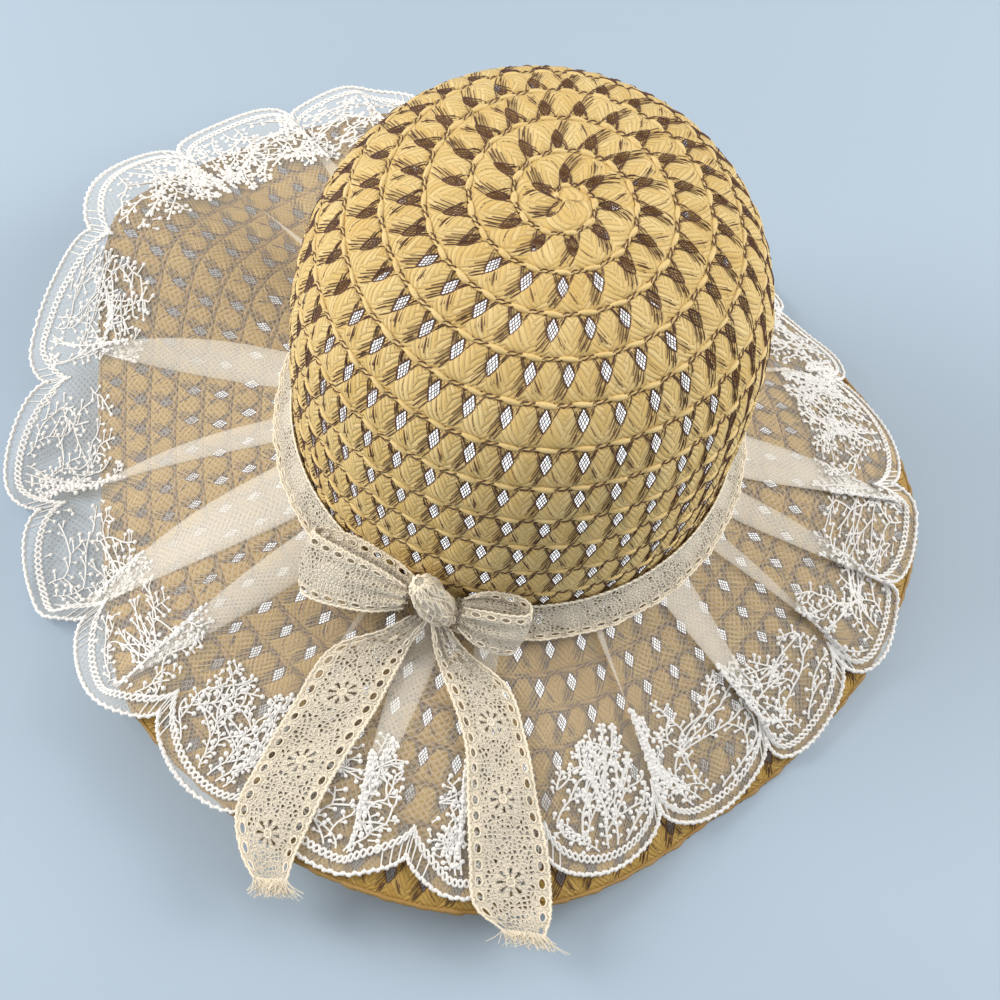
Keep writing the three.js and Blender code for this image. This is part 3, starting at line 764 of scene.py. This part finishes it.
def plait(name, rows, replaces, straw, cords):
    """Lobes between open windows, brown strands on the diagonals, net in the windows and seam cords."""
    place, row, start, pitch = rows
    rng = np.random.default_rng(7)
    k = len(start)
    wide = pitch[:, None, None]
    t = np.linspace(0, 1, 9)
    e = np.linspace(-0.5, 0.5, 13)[None, :, None]
    w = window_width(e)
    w = w - 0.3 * (1 - w / w.max())
    along = w + t * (wide - 2 * w)
    lift = lobe_lift(along / wide, e) * (1 + rng.uniform(-0.25, 0.25, (k, 1, 1)) * np.sin(np.pi * t))
    lift = lift + 0.25 * np.sin(2 * np.pi * along / wide + 4.0 * e) * (1 - np.abs(2 * e) ** 3)
    points = place(row[:, None, None], start[:, None, None] + along, e + 0 * along, lift)
    uv = np.stack([np.arange(k)[:, None, None] + 0.02 + 0.96 * along / wide, 0.5 + e + 0 * along], -1)
    make_piece(name + "_lobes", [(points, grid_quads(*points.shape[1:3], k, flip=True), uv)], straw, replaces)

    def strands(x, y, lift, radius, sides, follow=True, only=slice(None), jitter=0.0):
        """Tubes along curves (x, y) repeated in every cell. follow lays them on the straw, and jitter shifts and
        skews each one along the row."""
        begin = start[only, None, None]
        width = wide[only]
        x = x[None] + 0 * begin
        shift, skew = rng.normal(0, 1, (*x.shape[:2], 1)), rng.normal(0, 0.6, (*x.shape[:2], 1))
        x = x + jitter * (shift + skew * np.linspace(-1, 1, x.shape[2]))
        y = y[None] + 0 * x
        high = lift + 0 * x + (lobe_lift(x / width, y) if follow else 0)
        rows_of = row[only, None, None] + 0 * x.astype(int)
        p = place(rows_of, begin + x, y, high)
        n = place(rows_of, begin + x, y, high + 0.5) - p
        shape = (-1, x.shape[2], 3)
        r = np.broadcast_to(radius, x.shape).reshape(-1, x.shape[2])
        return tubes(p.reshape(shape), unit(n).reshape(shape), r, sides)

    yarn = mm("yarn_radius")
    row_pitch = mm("row_pitch")
    cell = mm("cell_pitch")
    brown = finish("brown_yarn", yarn_finish)
    s = np.linspace(0, 1, 4)
    loose = []
    for count, begin, end, step in STRANDS:
        i = np.arange(count)[:, None]
        x = begin[0] + (end[0] - begin[0]) * s + step[0] * i
        y = begin[1] + step[1] * i + (end[1] - begin[1] - step[1] * i) * s
        loose.append(strands(x, WINDOW_AT + y / row_pitch, 0.2, yarn * np.array([0.7, 1, 1, 0.7]), 3, jitter=0.3))
    s = np.linspace(-0.97, 0.97, 6)[None]
    for way in (-1, 1):
        y = WINDOW_AT + WINDOW_HALF * s
        loose.append(strands(way * (window_width(y) + 0.2), y, 0.12, yarn * 0.9, 3))
    make_piece(name + "_yarn", loose, brown)
    s = np.linspace(-1, 1, 5)
    reach = np.array(NET_REACH)[:, None]
    middle = NET_STEP * (np.arange(len(reach)) - len(reach) // 2)[:, None]
    net = [strands(middle + way * NET_SLANT * reach * s, WINDOW_AT + reach * s, 0.1, yarn * 0.68, 3, jitter=0.12)
           for way in (-1, 1)]
    make_piece(name + "_net", net, brown)

    def seam(at, only):
        """Along a seam: a brown twist of two strands between windows, a straw lozenge over each window's end, and
        a thin straw from one to the next."""
        s = np.linspace(0, 1, 8)[None]
        turn = 2 * np.pi * (1.2 * s + np.arange(2)[:, None] / 2)
        twist = strands(cell * (0.15 + 0.64 * s) + 0 * turn, at + 0.05 * np.cos(turn), 0.75 + 0.55 * np.sin(turn),
                        yarn * 1.2 * (0.6 + 0.4 * np.sin(np.pi * s)), 3, False, only, 0.15)
        fat = mm("cord_radius") * np.sin(np.pi * (0.04 + 0.92 * s)) ** 0.5
        fat = fat * rng.uniform(0.82, 1.08, (len(start[only]), 1, 1))
        over = strands(cell * (-0.34 + 0.66 * s), at + 0.07 * (s - 0.5), 0.4 + 0.3 * np.sin(np.pi * s), fat, 6,
                       False, only, 0.25)
        between = strands(cell * (0.2 + 0.56 * s), at + 0 * s, 0.35, 0.75, 4, False, only)
        return twist, over, between

    seams = [seam(-0.5, slice(None))]
    if row.max():
        seams.append(seam(0.49, row == row.max()))
    make_piece(name + "_seam_yarn", [twist for twist, _, _ in seams], brown)
    make_piece(name + "_cords", [cord for _, *pair in seams for cord in pair], cords)


class HAT_OT_crown(bpy.types.Operator):
    """Coiled plait of the crown"""
    bl_idname = "hat.crown"
    bl_label = "Straw crown"

    def execute(self, context):
        straw = finish("straw_plait", straw_finish, PLAIN)
        plait("crown_plait", crown_rows(), ["crown"], straw, finish("straw_cord", cord_finish, PLAIN))
        turn = np.linspace(0, 2 * np.pi, 33)[:-1][None]
        r = np.linspace(0, TIP_RADIUS, 9)[:, None]
        f = r / TIP_RADIUS
        points = on_crown(r + 0 * turn, turn, 1.1 - 1.3 * f**2 + 0.2 * np.sin(5 * turn) * f)
        uv = np.stack(np.broadcast_arrays(0.5 + r * np.cos(turn) / 26, 0.5 + r * np.sin(turn) / 26), -1)
        make_piece("crown_tip", [(points, grid_quads(*points.shape[:2], wrap=True, flip=True), uv)], straw)
        return {"FINISHED"}


class HAT_OT_brim(bpy.types.Operator):
    """Rounds of plait of the brim and its rolled rim"""
    bl_idname = "hat.brim"
    bl_label = "Straw brim"

    def execute(self, context):
        # The brim's straw and cords are darkened by painted shade in their tints.
        straw = finish("straw_brim_plait", straw_finish, BRIM_PAINTED_SHADE)
        cords = finish("straw_brim_cord", cord_finish, BRIM_CORD_PAINTED_SHADE)
        plait("brim_plait", brim_rows(), ["brim"], straw, cords)
        az = np.linspace(0, 360, 721)[None]
        wave = 0.2 * np.sin(np.radians(az) * 84)
        path = on_brim(az, 1.0, 0.0) + 0.9 * UP
        make_piece("brim_rim", [tubes(path, UP, 0.9 + wave, 6)], cords)
        return {"FINISHED"}


# Tulle

def pressed(azimuth):
    """How much the tails press the tulle flat, from 0 to 1."""
    return np.clip((PRESS_HALF - np.abs(np.mod(azimuth, 360) - PRESS_AT)) / PRESS_FADE, 0, 1)


def tip_length(azimuth):
    """Length down the straw to the tulle's scallop tips."""
    end = round_curve(RIM, 1, azimuth)
    return brim_length(azimuth) + (round_curve(TULLE_EDGE, 1, azimuth) - end) * 1.05


def across_scallop(azimuth):
    """Place across a scallop, from -1 at one cusp to 1 at the next."""
    phase = (azimuth - SCALLOP_PHASE) * SCALLOPS / 360
    return 2 * (phase - np.floor(phase)) - 1


def scallop_azimuths(count, crowd):
    """Azimuths round the edge, count to a scallop, crowded to its cusps by a share crowd of a sine."""
    turn = np.linspace(-np.pi / 2, np.pi / 2, count + 1)[:-1]
    within = 0.5 + 0.5 * (crowd * np.sin(turn) + (1 - crowd) * turn / (np.pi / 2))
    return (SCALLOP_PHASE + 360 / SCALLOPS * (np.arange(SCALLOPS)[:, None] + within)).ravel()


def scallop(azimuth, inset=0.0):
    """Length of the scalloped edge: a half circle between cusps, drawn in by inset."""
    across = across_scallop(azimuth)
    return tip_length(azimuth) - inset - SCALLOP_DEPTH * (1 - np.sqrt(np.maximum(0, 1 - across * across)))


def on_tulle(azimuth, length, lift=0.0, doubled=False):
    """Tulle by cloth azimuth and length. Pleats swing the cloth sideways by a sine of its phase and raise it by
    minus the same sine, so that it doubles under itself near the band and eases to a soft wave at the edge.
    doubled gives instead how far the cloth has turned back, from 0 to 1."""
    azimuth, length = np.broadcast_arrays(azimuth, length)
    f = np.clip((length - TULLE_TOP) / (tip_length(azimuth) - TULLE_TOP), 0, 1.2)
    a = np.radians(azimuth)
    m = sizes().pleats
    phase = m * a + 1.4 * np.sin(3 * a + 0.4) + 1.1 * np.sin(5 * a + 2.0) + 0.6 * np.sin(8 * a + 1.0)
    press = pressed(azimuth)
    varied = 0.9 + 0.15 * np.sin(2 * a + 1.0) + 0.3 * np.sin(7 * a + 0.7)
    fold = (3.1 * np.maximum(0, 1 - f) ** 0.75 + 0.15) * varied * (1 - 0.2 * press)
    if doubled:
        return np.clip(-0.6 * (1 + fold * np.cos(phase)), 0, 1)
    swing = np.degrees(fold / m * np.sin(phase))
    rise = mm("pleat_height") * np.sin(np.pi * np.clip(0.10 + 0.62 * f, 0, 1)) * (1 - 0.72 * press)
    rise = np.where(f < 0.11, np.minimum(rise, 0.3 + 4 * f), rise)
    high = TULLE_LIFT + 0.1 + rise * (0.5 - 0.5 * np.sin(phase)) + lift
    return on_straw(azimuth + swing, length, high)


def tulle_normal(azimuth, length):
    """Upward normal of the tulle from small steps along both of its directions."""
    p = on_tulle(azimuth, length)
    n = unit(np.cross(on_tulle(azimuth, length + 0.8) - p, on_tulle(azimuth + 0.25, length) - p))
    return np.where(n[..., 2:] < 0, -n, n)


class HAT_OT_tulle(bpy.types.Operator):
    """Gathered sheer ruffle over the brim"""
    bl_idname = "hat.tulle"
    bl_label = "Tulle ruffle"

    def execute(self, context):
        azimuth = scallop_azimuths(34, 0.5)[None]
        length = TULLE_TOP + (scallop(azimuth) - TULLE_TOP) * np.linspace(0, 1, 44)[:, None]
        uv = np.stack([np.broadcast_to(azimuth * 0.35, length.shape), length / 10], -1)
        cloth = on_tulle(azimuth, length), grid_quads(*length.shape, wrap=True, flip=True), uv
        sheet = make_piece("tulle_ruffle_cloth", [cloth], finish("tulle_net", tulle_finish), ["tulle_ruffle"],
                           {"doubled": on_tulle(azimuth, length, doubled=True)})
        return {"FINISHED"}


def bush(rng):
    """Coral-like bush on a flat scallop: x along the edge, d in from its tip. Stems fork in two at the end of each
    bent length, some forks dying out, with dotted stubs on alternate sides and three at the end of the last lengths.
    A square of DOT_PITCH keeps one dot."""
    branches, stubs = [], []
    s = np.linspace(0, 1, 5)

    def grow(head, curl, length, share):
        """Arcs from heads of (x, d, heading): the heading turns steadily by curl over the length."""
        angle = head[:, 2:] + curl[:, None] * share
        step = length[:, None] * np.diff(share, prepend=0.0)
        path = np.stack([head[:, :1] + np.cumsum(step * np.sin(angle), 1),
                         head[:, 1:2] + np.cumsum(step * np.cos(angle), 1)], -1)
        return path, angle

    def stub(head):
        """Short straight stitches from heads."""
        n = len(head)
        stubs.append(grow(head, np.zeros(n), rng.uniform(1.8, 2.8, n), np.array([0.0, 1.0]))[0])

    lean = np.linspace(-1.2, 1.2, 6)
    head = np.stack([lean * 9.0, 9.5 + 0 * lean, 0.8 * lean + rng.uniform(-0.2, 0.2, len(lean))], -1)
    for reach, spread, alive in BUSH:
        n = len(head)
        path, angle = grow(head, rng.uniform(-0.9, 0.9, n), reach * rng.uniform(0.75, 1.15, n), s)
        branches.append(path)
        side = np.where(np.arange(n) % 2, 1.0, -1.0)
        for j, turn in ((1, 0.95), (2, -0.95), (3, 0.95)):
            stub(np.column_stack([path[:, j], angle[:, j] + side * turn]))
        end = np.column_stack([path[:, -1], angle[:, -1]])
        if spread:
            head = np.concatenate([end + [0, 0, way] for way in (-spread, spread)])
            head[:, 2] = 0.8 * head[:, 2] + rng.uniform(-0.2, 0.2, 2 * n)
            head = head[rng.random(2 * n) < alive]
        else:
            for way in (-0.85, 0.0, 0.85):
                stub(end + [0, 0, way])
    branches, stubs = np.concatenate(branches), np.concatenate(stubs)

    def inside(path):
        """Whether a whole path lies on its own scallop."""
        return (np.abs(path[..., 0]) < BUSH_HALF).all(1) & (path[..., 1] > BUSH_FOOT).all(1)

    stubs = stubs[inside(stubs)]
    stubs = stubs[np.unique(np.floor(stubs[:, -1] / DOT_PITCH), axis=0, return_index=True)[1]]
    return branches[inside(branches)], stubs, stubs[:, -1]


def on_scallop(number, flat):
    """Azimuth and length of flat embroidery points laid on one scallop of the tulle."""
    azimuth = SCALLOP_PHASE + 360 / SCALLOPS * (number + 0.5) + flat[..., 0] / EDGE_DEGREE
    return azimuth, tip_length(azimuth) - flat[..., 1]


def laid(flats, top, inset):
    """Azimuths and lengths of flat embroidery, one set a scallop, where it is whole below top and inside the edge."""
    placed = [on_scallop(number, flat) for number, flat in enumerate(flats)]
    azimuth, length = (np.concatenate(column) for column in zip(*placed))
    keep = ((length > top) & (length < scallop(azimuth, inset))).reshape(len(length), -1).all(1)
    return azimuth[keep], length[keep]


def stitches(azimuth, length, lift, thick, sides):
    """Tubes of thread on the tulle along rows of azimuths and lengths."""
    return tubes(on_tulle(azimuth, length, lift), tulle_normal(azimuth, length), thick, sides)


def blossoms(azimuth, length, rng):
    """Domed dots of six sides: a ring on the net, a smaller one above it and a tip, each of its own size."""
    centre = on_tulle(azimuth, length, 0.25)[:, None]
    up = tulle_normal(azimuth, length)
    side = unit(np.cross(up, np.array([0.3, 0.9, 0.1])))
    ring = circle(side, np.cross(up, side), 6)
    up = up[:, None]
    size = rng.uniform(0.85, 1.2, (len(centre), 1, 1))
    points = np.concatenate([centre + size * ring, centre + size * (0.74 * ring + 0.5 * up),
                             centre + size * 0.75 * up], 1)
    j = np.arange(6)
    k = (j + 1) % 6
    base = (np.arange(len(centre)) * points.shape[1])[:, None, None]
    walls = base + np.stack([j, k, k + 6, j + 6], -1)[None]
    caps = base + np.stack([j + 6, k + 6, 0 * j + 12], -1)[None]
    return points, [walls.reshape(-1, 4), caps.reshape(-1, 3)], None


def edging():
    """Cords along the scallops, evenly stepped: a satin edge, two waves that cross as a chain and draw in at the
    cusps, and bars between edge and chain there."""
    rough = np.r_[scallop_azimuths(60, 0.6), SCALLOP_PHASE + 360]
    run = run_along(on_tulle(rough, scallop(rough, 4.0)))
    even = np.linspace(0, run[-1], int(run[-1] / 0.62))
    azimuth = np.interp(even, run, rough)
    cusp = np.abs(across_scallop(azimuth))
    chain = 6.2 + 4.5 * cusp**3

    def wave(pitch):
        """Sine along the edge."""
        return np.sin(2 * np.pi * even / pitch)

    def cord(inset, thick, sides):
        """One cord at an inset from the edge."""
        return stitches(azimuth[None], scallop(azimuth, inset)[None], 0.4, thick, sides)

    cords = [cord(0.5 + 0.35 * wave(3.7), 0.85 + 0.28 * wave(1.9), 5)]
    cords += [cord(chain + way * 1.4 * wave(5.2), 0.6, 4) for way in (1, -1)]
    near = np.flatnonzero(cusp > 0.78)[::6]
    bars = azimuth[near, None] + 0 * np.ones(3)
    length = np.stack([scallop(bars[:, 0], d * (chain[near] - 1.0)) for d in (0.08, 0.5, 1.0)], -1)
    return cords + [stitches(bars, length, 0.3, 0.4, 3)]


class HAT_OT_embroidery(bpy.types.Operator):
    """White sprays, chain border and satin edge of the tulle"""
    bl_idname = "hat.embroidery"
    bl_label = "Embroidery"

    def execute(self, context):
        rng = np.random.default_rng(21)
        branches, stubs, dots = zip(*[bush(rng) for _ in range(SCALLOPS)])
        thread = finish("white_thread", thread_finish)
        sprays = [stitches(*laid(flats, 22, 9.0), 0.35, thick, 3) for flats, thick in ((branches, 0.55), (stubs, 0.5))]
        make_piece("embroidery_sprays", sprays, thread)
        make_piece("embroidery_blossoms", [blossoms(*laid(dots, 20, 8.5), rng)], thread)
        make_piece("embroidery_border", edging(), thread)
        return {"FINISHED"}


# Lace

def lace_sheet(name, points, across, along, replaces, wheels=False):
    """A lace ribbon from a grid of points, rows along and columns across, with its cloth coordinates in millimetres.
    Relief laid on it: picot cords on both edges and a ring round each eyelet and each wheel's hub."""
    rows, columns = points.shape[:2]
    uv = np.stack(np.broadcast_arrays(across[None], along[:, None]), -1) / 10
    quads = grid_quads(rows, columns)
    normal = np.cross(points[0, 1] - points[0, 0], points[1, 0] - points[0, 0])
    if normal[2] > 0:
        quads = quads[:, ::-1]
    cotton = finish("crochet_lace_wheels" if wheels else "crochet_lace", lace_finish, True, wheels)
    sheet = make_piece(name, [(points, quads, uv)], cotton, replaces)

    def at(x, y):
        """Point of the ribbon at cloth coordinates."""
        return bilinear(points, np.clip(np.interp(y, along, np.arange(rows)), 0, rows - 1.001),
                        np.clip(np.interp(x, across, np.arange(columns)), 0, columns - 1.001))

    def thread(x, y, radius, sides=4):
        """Thread along cloth curves, proud of the ribbon on both faces."""
        n = np.cross(at(x + 0.4, y) - at(x - 0.4, y), at(x, y + 0.4) - at(x, y - 0.4))
        return tubes(at(x, y), unit(n), radius, sides)

    def repeats(pitch, margin):
        """Middles of a pattern's repeats down the ribbon, clear of its ends."""
        middle = (np.arange(np.floor(along[0] / pitch), along[-1] / pitch) + 0.5) * pitch
        return middle[(middle > along[0] + margin) & (middle < along[-1] - margin), None]

    y = np.arange(along[0] + 0.3, along[-1] - 0.3, 0.55)[None]
    relief = []
    for side in (across[0], across[-1]):
        weave = np.sign(side) * (0.5 + 0.7 * np.abs(np.sin(np.pi * y / EYELET_PITCH * 2)))
        relief.append(thread(side - weave, y, 0.5 + 0.16 * np.sin(2 * np.pi * y / 1.3)))
        if abs(side) > EYELET_AT + 1:
            middle, turn = repeats(EYELET_PITCH, 3), np.linspace(0, 2 * np.pi, 11)
            at_side = np.sign(side) * EYELET_AT + 0 * middle
            relief.append(thread(at_side + 1.5 * np.cos(turn), middle + 2.1 * np.sin(turn), 0.38, 3))
    if wheels:
        middle, turn = repeats(LACE_REPEAT, 7), np.linspace(0, 2 * np.pi, 25)
        relief.append(thread(1.6 * np.cos(turn) + 0 * middle, middle + 1.6 * np.sin(turn), 0.35, 3))
    trim = make_piece(name + "_relief", relief, finish("crochet_lace_dense", lace_finish, False))
    "folded" if "loop" in name else "laid"


class HAT_OT_band(bpy.types.Operator):
    """Lace band round the crown's foot"""
    bl_idname = "hat.band"
    bl_label = "Lace band"

    def execute(self, context):
        t = np.linspace(0, 1, 22)
        line = through(BAND_LINE, t)
        azimuth = np.linspace(BAND_FROM, BAND_TO, 700)
        turn = np.radians(azimuth)
        crinkle = 0.35 * np.sin(turn * 61) + 0.3 * np.sin(turn * 37 + 1)
        lift = line[:, 1, None] + crinkle[None] * t[:, None]
        length = line[:, 0, None] + 0.5 * np.sin(turn * 23)[None] * (t[:, None] - 0.3)
        points = on_straw(azimuth[None], length, lift).transpose(1, 0, 2)
        across = (t - 0.5) * mm("lace_width") * BAND_SHOWN + BAND_SHIFT
        along = np.radians(azimuth - BAND_FROM) * BAND_RADIUS
        lace_sheet("lace_band_ribbon", points, across, along, ["lace_band"])
        return {"FINISHED"}


def tail(name, rows, node, seed):
    """Tail: plan rows joined by a smooth curve, laid over the straw with a soft ripple, frayed at its end."""
    rng = np.random.default_rng(seed)
    v = np.linspace(0, 1, 120)
    line = through(rows, v)
    u = np.linspace(0, 1, 31)
    x, y = (line[:, None, i] * (1 - u) + line[:, None, i + 2] * u for i in (0, 1))
    run = run_along((line[:, :2] + line[:, 2:4]) / 2)
    ripple = (0.7 * np.sin(run[:, None] / 9 + 2.5 * u + seed) * np.sin(np.pi * u)
              + 0.5 * np.sin(run[:, None] / 4.3 + 7 * u))
    gather = 1.3 * np.sin(2 * np.pi * 3.2 * u + seed) * np.exp(-run[:, None] / 13)
    z = straw_height(x, y) + line[:, 4, None] + 1.0 + ripple * np.minimum(1, run[:, None] / 20) + gather
    points = np.stack([x, y, z], -1)
    lace_sheet(name, points, (u - 0.5) * mm("lace_width"), run * 1.04 + 4, [node],
               wheels=True)
    s = np.linspace(0, 1, 6)[None, :, None]

    def each(numbers):
        """One number a thread, ready to multiply points along it."""
        return numbers[:, None, None]

    at = rng.uniform(0.02, 0.98, FRAY_COUNT)
    end, middle = points[-3], len(u) // 2
    root = np.stack([np.interp(at, u, end[:, i]) for i in range(3)], -1)
    way = unit(end[middle] - points[-14, middle])
    side = unit(end[-1] - end[0])
    reach = each(rng.uniform(2, 8, FRAY_COUNT)) * s
    swing = each(rng.normal(0, 0.45, FRAY_COUNT)) + each(rng.normal(0, 0.5, FRAY_COUNT)) * s
    sag = each(rng.uniform(-0.2, 0.5, FRAY_COUNT)) * s**2 * 5
    threads = root[:, None] + reach * (way + side * swing) - sag * UP
    threads[..., 2] = np.maximum(threads[..., 2], 0.6)
    return tubes(threads, UP, 0.17, 3)


def bow_loop(name, place):
    """Loop: a path out from the knot and back, its width laid at a slope to the hat, creased near the knot."""
    start, end = np.array(place["start"]), np.array(place["end"])
    way = end - start
    reach = np.linalg.norm(way)
    c = np.arctan2(*(start + end)[1::-1])
    slope = np.radians(place["slope"])
    width = polar(np.cos(slope), c, -np.sin(slope))
    up = unit(np.cross(width, way))
    up = up if up[2] > 0 else -up
    width = unit(np.cross(up, way))
    v = np.linspace(0, 1, 110)[:, None]
    out, rise, half = through(LOOP, v[:, 0]).T[:, :, None]
    w = np.linspace(-1, 1, 23)[None]
    run = run_along(np.concatenate([out * reach, rise], 1))
    crease = 1.9 * np.sin(9 * w + 3 * v) * np.exp(-out * 2.6) - 1.2 * w**2
    belly = 0.2 * np.sin(run[:, None] / 5 + 2 * w)
    share = out * (1 - 0.07 * w**2) * reach
    lift = rise * place["gap"] + crease + belly
    across = w * half * place["width"] - place["drop"] * rise / 10
    points = start + unit(way) * share[..., None] + up * lift[..., None] + width * across[..., None]
    lace_sheet(name + "_ribbon", points, w[0] * mm("lace_width") / 2, run + 9, [name])


def on_knot(t, p):
    """Point of the knot's barrel by turn t and height angle p, creased along its height by narrow cosine valleys."""
    centre = np.array(KNOT["centre"])
    out = unit(centre * (1, 1, 0))
    side = np.array([-out[1], out[0], 0])
    tilt = np.radians(KNOT["tilt"])
    fold = (1.12 - 0.20 * np.abs(np.cos(2.5 * t + 0.9 * p)) ** 5
            - 0.10 * np.abs(np.cos(4 * t - 1.1 * p + 1)) ** 6)
    barrel = np.cos(p) ** 0.55
    wide = KNOT["wide"] * barrel * np.sin(t) * fold * (1 - 0.15 * np.sin(p))
    tall = KNOT["tall"] * np.sin(p) + 0 * t
    deep = KNOT["deep"] * barrel * np.cos(t) * fold
    return (centre + side * (wide * np.cos(tilt) - tall * np.sin(tilt))[..., None] + out * deep[..., None]
            + UP * (tall * np.cos(tilt) + wide * np.sin(tilt))[..., None])


class HAT_OT_bow(bpy.types.Operator):
    """Knot, loops and tails of the bow, with frayed ends"""
    bl_idname = "hat.bow"
    bl_label = "Lace bow"

    def execute(self, context):
        for side, place in LOOPS.items():
            bow_loop("bow_loop_" + side, place)
        t = np.linspace(0, 2 * np.pi, 97)[:-1][None]
        p = np.linspace(-np.pi / 2, np.pi / 2, 41)[:, None]
        uv = np.stack(np.broadcast_arrays(t * 0.9, p * 1.3), -1)
        dense = finish("crochet_lace_dense", lace_finish, False)
        wrap = on_knot(t, p), grid_quads(*uv.shape[:2], wrap=True), uv
        make_piece("bow_knot_wrap", [wrap], dense, ["bow_knot"])
        p = np.linspace(-1.45, 1.45, 44)[None]
        i = np.arange(KNOT["threads"])[:, None]
        threads = []
        for way in (-1, 1):
            path = on_knot(2 * np.pi * i / KNOT["threads"] + way * (0.75 * p + 0.12 * np.sin(5 * p + i)), p)
            threads.append(tubes(path, path - KNOT["centre"], 0.48 + 0.22 * np.sin(11 * p + 2.4 * i), 4))
        make_piece("bow_knot_threads", threads, dense)
        fray = [tail("bow_tail_left_ribbon", LEFT_TAIL, "bow_tail_left", 3),
                tail("bow_tail_right_ribbon", RIGHT_TAIL, "bow_tail_right", 5)]
        make_piece("bow_tail_fray", fray, dense)
        return {"FINISHED"}


# Stage

# Lamps, metres: place, aim, size, watts and colour.
LAMPS = {
    "window_light": ((-1.25, -0.05, 0.82), (0, 0, 0.08), 0.9, 19, (1.0, 0.96, 0.90)),
    "side_light": ((1.15, 0.35, 0.85), (0, 0, 0.08), 0.9, 14, (1.0, 0.96, 0.90)),
    "fill_light": ((0.1, 0.9, 1.4), (0, 0, 0.08), 1.2, 2.0, (1, 1, 1)),
    "light_in_hollow": ((0.018, -0.002, 0.014), (0.018, -0.002, 0.0), 0.3, 0.62, (1.0, 0.85, 0.74)),
}
ROOM_COLOUR, ROOM_STRENGTH = (0.98, 0.975, 0.97, 1.0), 0.47
FLOOR_HALF, FLOOR_HEIGHT = 4, -0.0003
# Camera: where it stands, what it looks at, its roll in degrees and its lens.
EYE, LOOK_AT, ROLL, LENS = (0.01796, -0.32937, 0.60320), (0.01841, -0.04964, 0.072), 9.467, 52.56


class HAT_OT_stage(bpy.types.Operator):
    """Floor, soft light and camera"""
    bl_idname = "hat.stage"
    bl_label = "Stage"

    def execute(self, context):
        scene = context.scene
        mesh = bpy.data.meshes.new("floor")
        corners = [(x * FLOOR_HALF, y * FLOOR_HALF, FLOOR_HEIGHT) for x, y in ((-1, -1), (1, -1), (1, 1), (-1, 1))]
        mesh.from_pydata(corners, [], [(0, 1, 2, 3)])
        mesh.materials.append(finish("pale_floor", floor_finish))
        floor = bpy.data.objects.new("floor", mesh)
        scene.collection.objects.link(floor)
        world = bpy.data.worlds.new("soft_room")
        world.use_nodes = True
        back = world.node_tree.nodes["Background"]
        back.inputs[0].default_value = ROOM_COLOUR
        back.inputs[1].default_value = ROOM_STRENGTH
        scene.world = world
        scene.view_settings.view_transform = "Standard"
        for name, (place, aim, size, watts, colour) in LAMPS.items():
            data = bpy.data.lights.new(name, "AREA")
            data.shape = "DISK"
            data.size = size
            data.energy = watts
            data.color = colour
            lamp = bpy.data.objects.new(name, data)
            lamp.location = place
            lamp.rotation_euler = (Vector(aim) - Vector(place)).to_track_quat("-Z", "Y").to_euler()
            scene.collection.objects.link(lamp)
        camera = bpy.data.cameras.new("photo_view")
        camera.lens = LENS
        camera.sensor_width = 36
        eye = Vector(EYE)
        look = (Vector(LOOK_AT) - eye).normalized()
        right = look.cross(Vector((0, 0, 1))).normalized()
        up = right.cross(look)
        roll = np.radians(ROLL)
        tilted = right * np.cos(roll) + up * np.sin(roll)
        upright = up * np.cos(roll) - right * np.sin(roll)
        turn = Matrix((tilted, upright, -look)).transposed().to_4x4()
        view = bpy.data.objects.new("photo_view", camera)
        view.matrix_world = Matrix.Translation(eye) @ turn
        scene.collection.objects.link(view)
        scene.camera = view
        return {"FINISHED"}


class HAT_PT_panel(bpy.types.Panel):
    """Sizes, colours and pieces of the hat"""
    bl_idname = "HAT_PT_panel"
    bl_label = "Straw hat"
    bl_space_type = "VIEW_3D"
    bl_region_type = "UI"
    bl_category = "Straw hat"

    def draw(self, context):
        for group in (context.scene.hat_sizes, context.scene.hat_colours):
            for key in group.__annotations__:
                self.layout.prop(group, key)
        for operator in OPERATORS:
            self.layout.operator(operator.bl_idname)


OPERATORS = (HAT_OT_stage, HAT_OT_crown, HAT_OT_brim, HAT_OT_tulle, HAT_OT_embroidery, HAT_OT_band, HAT_OT_bow)
CLASSES = (HatSizes, HatColours, *OPERATORS, HAT_PT_panel)


def register():
    for cls in CLASSES:
        bpy.utils.register_class(cls)
    bpy.types.Scene.hat_sizes = PointerProperty(type=HatSizes)
    bpy.types.Scene.hat_colours = PointerProperty(type=HatColours)


def unregister():
    del bpy.types.Scene.hat_colours
    del bpy.types.Scene.hat_sizes
    for cls in reversed(CLASSES):
        bpy.utils.unregister_class(cls)


def main():
    register()
    for name in ("stage", "crown", "brim", "tulle", "embroidery", "band", "bow"):
        getattr(bpy.ops.hat, name)()


if __name__ == "__main__":
    main()
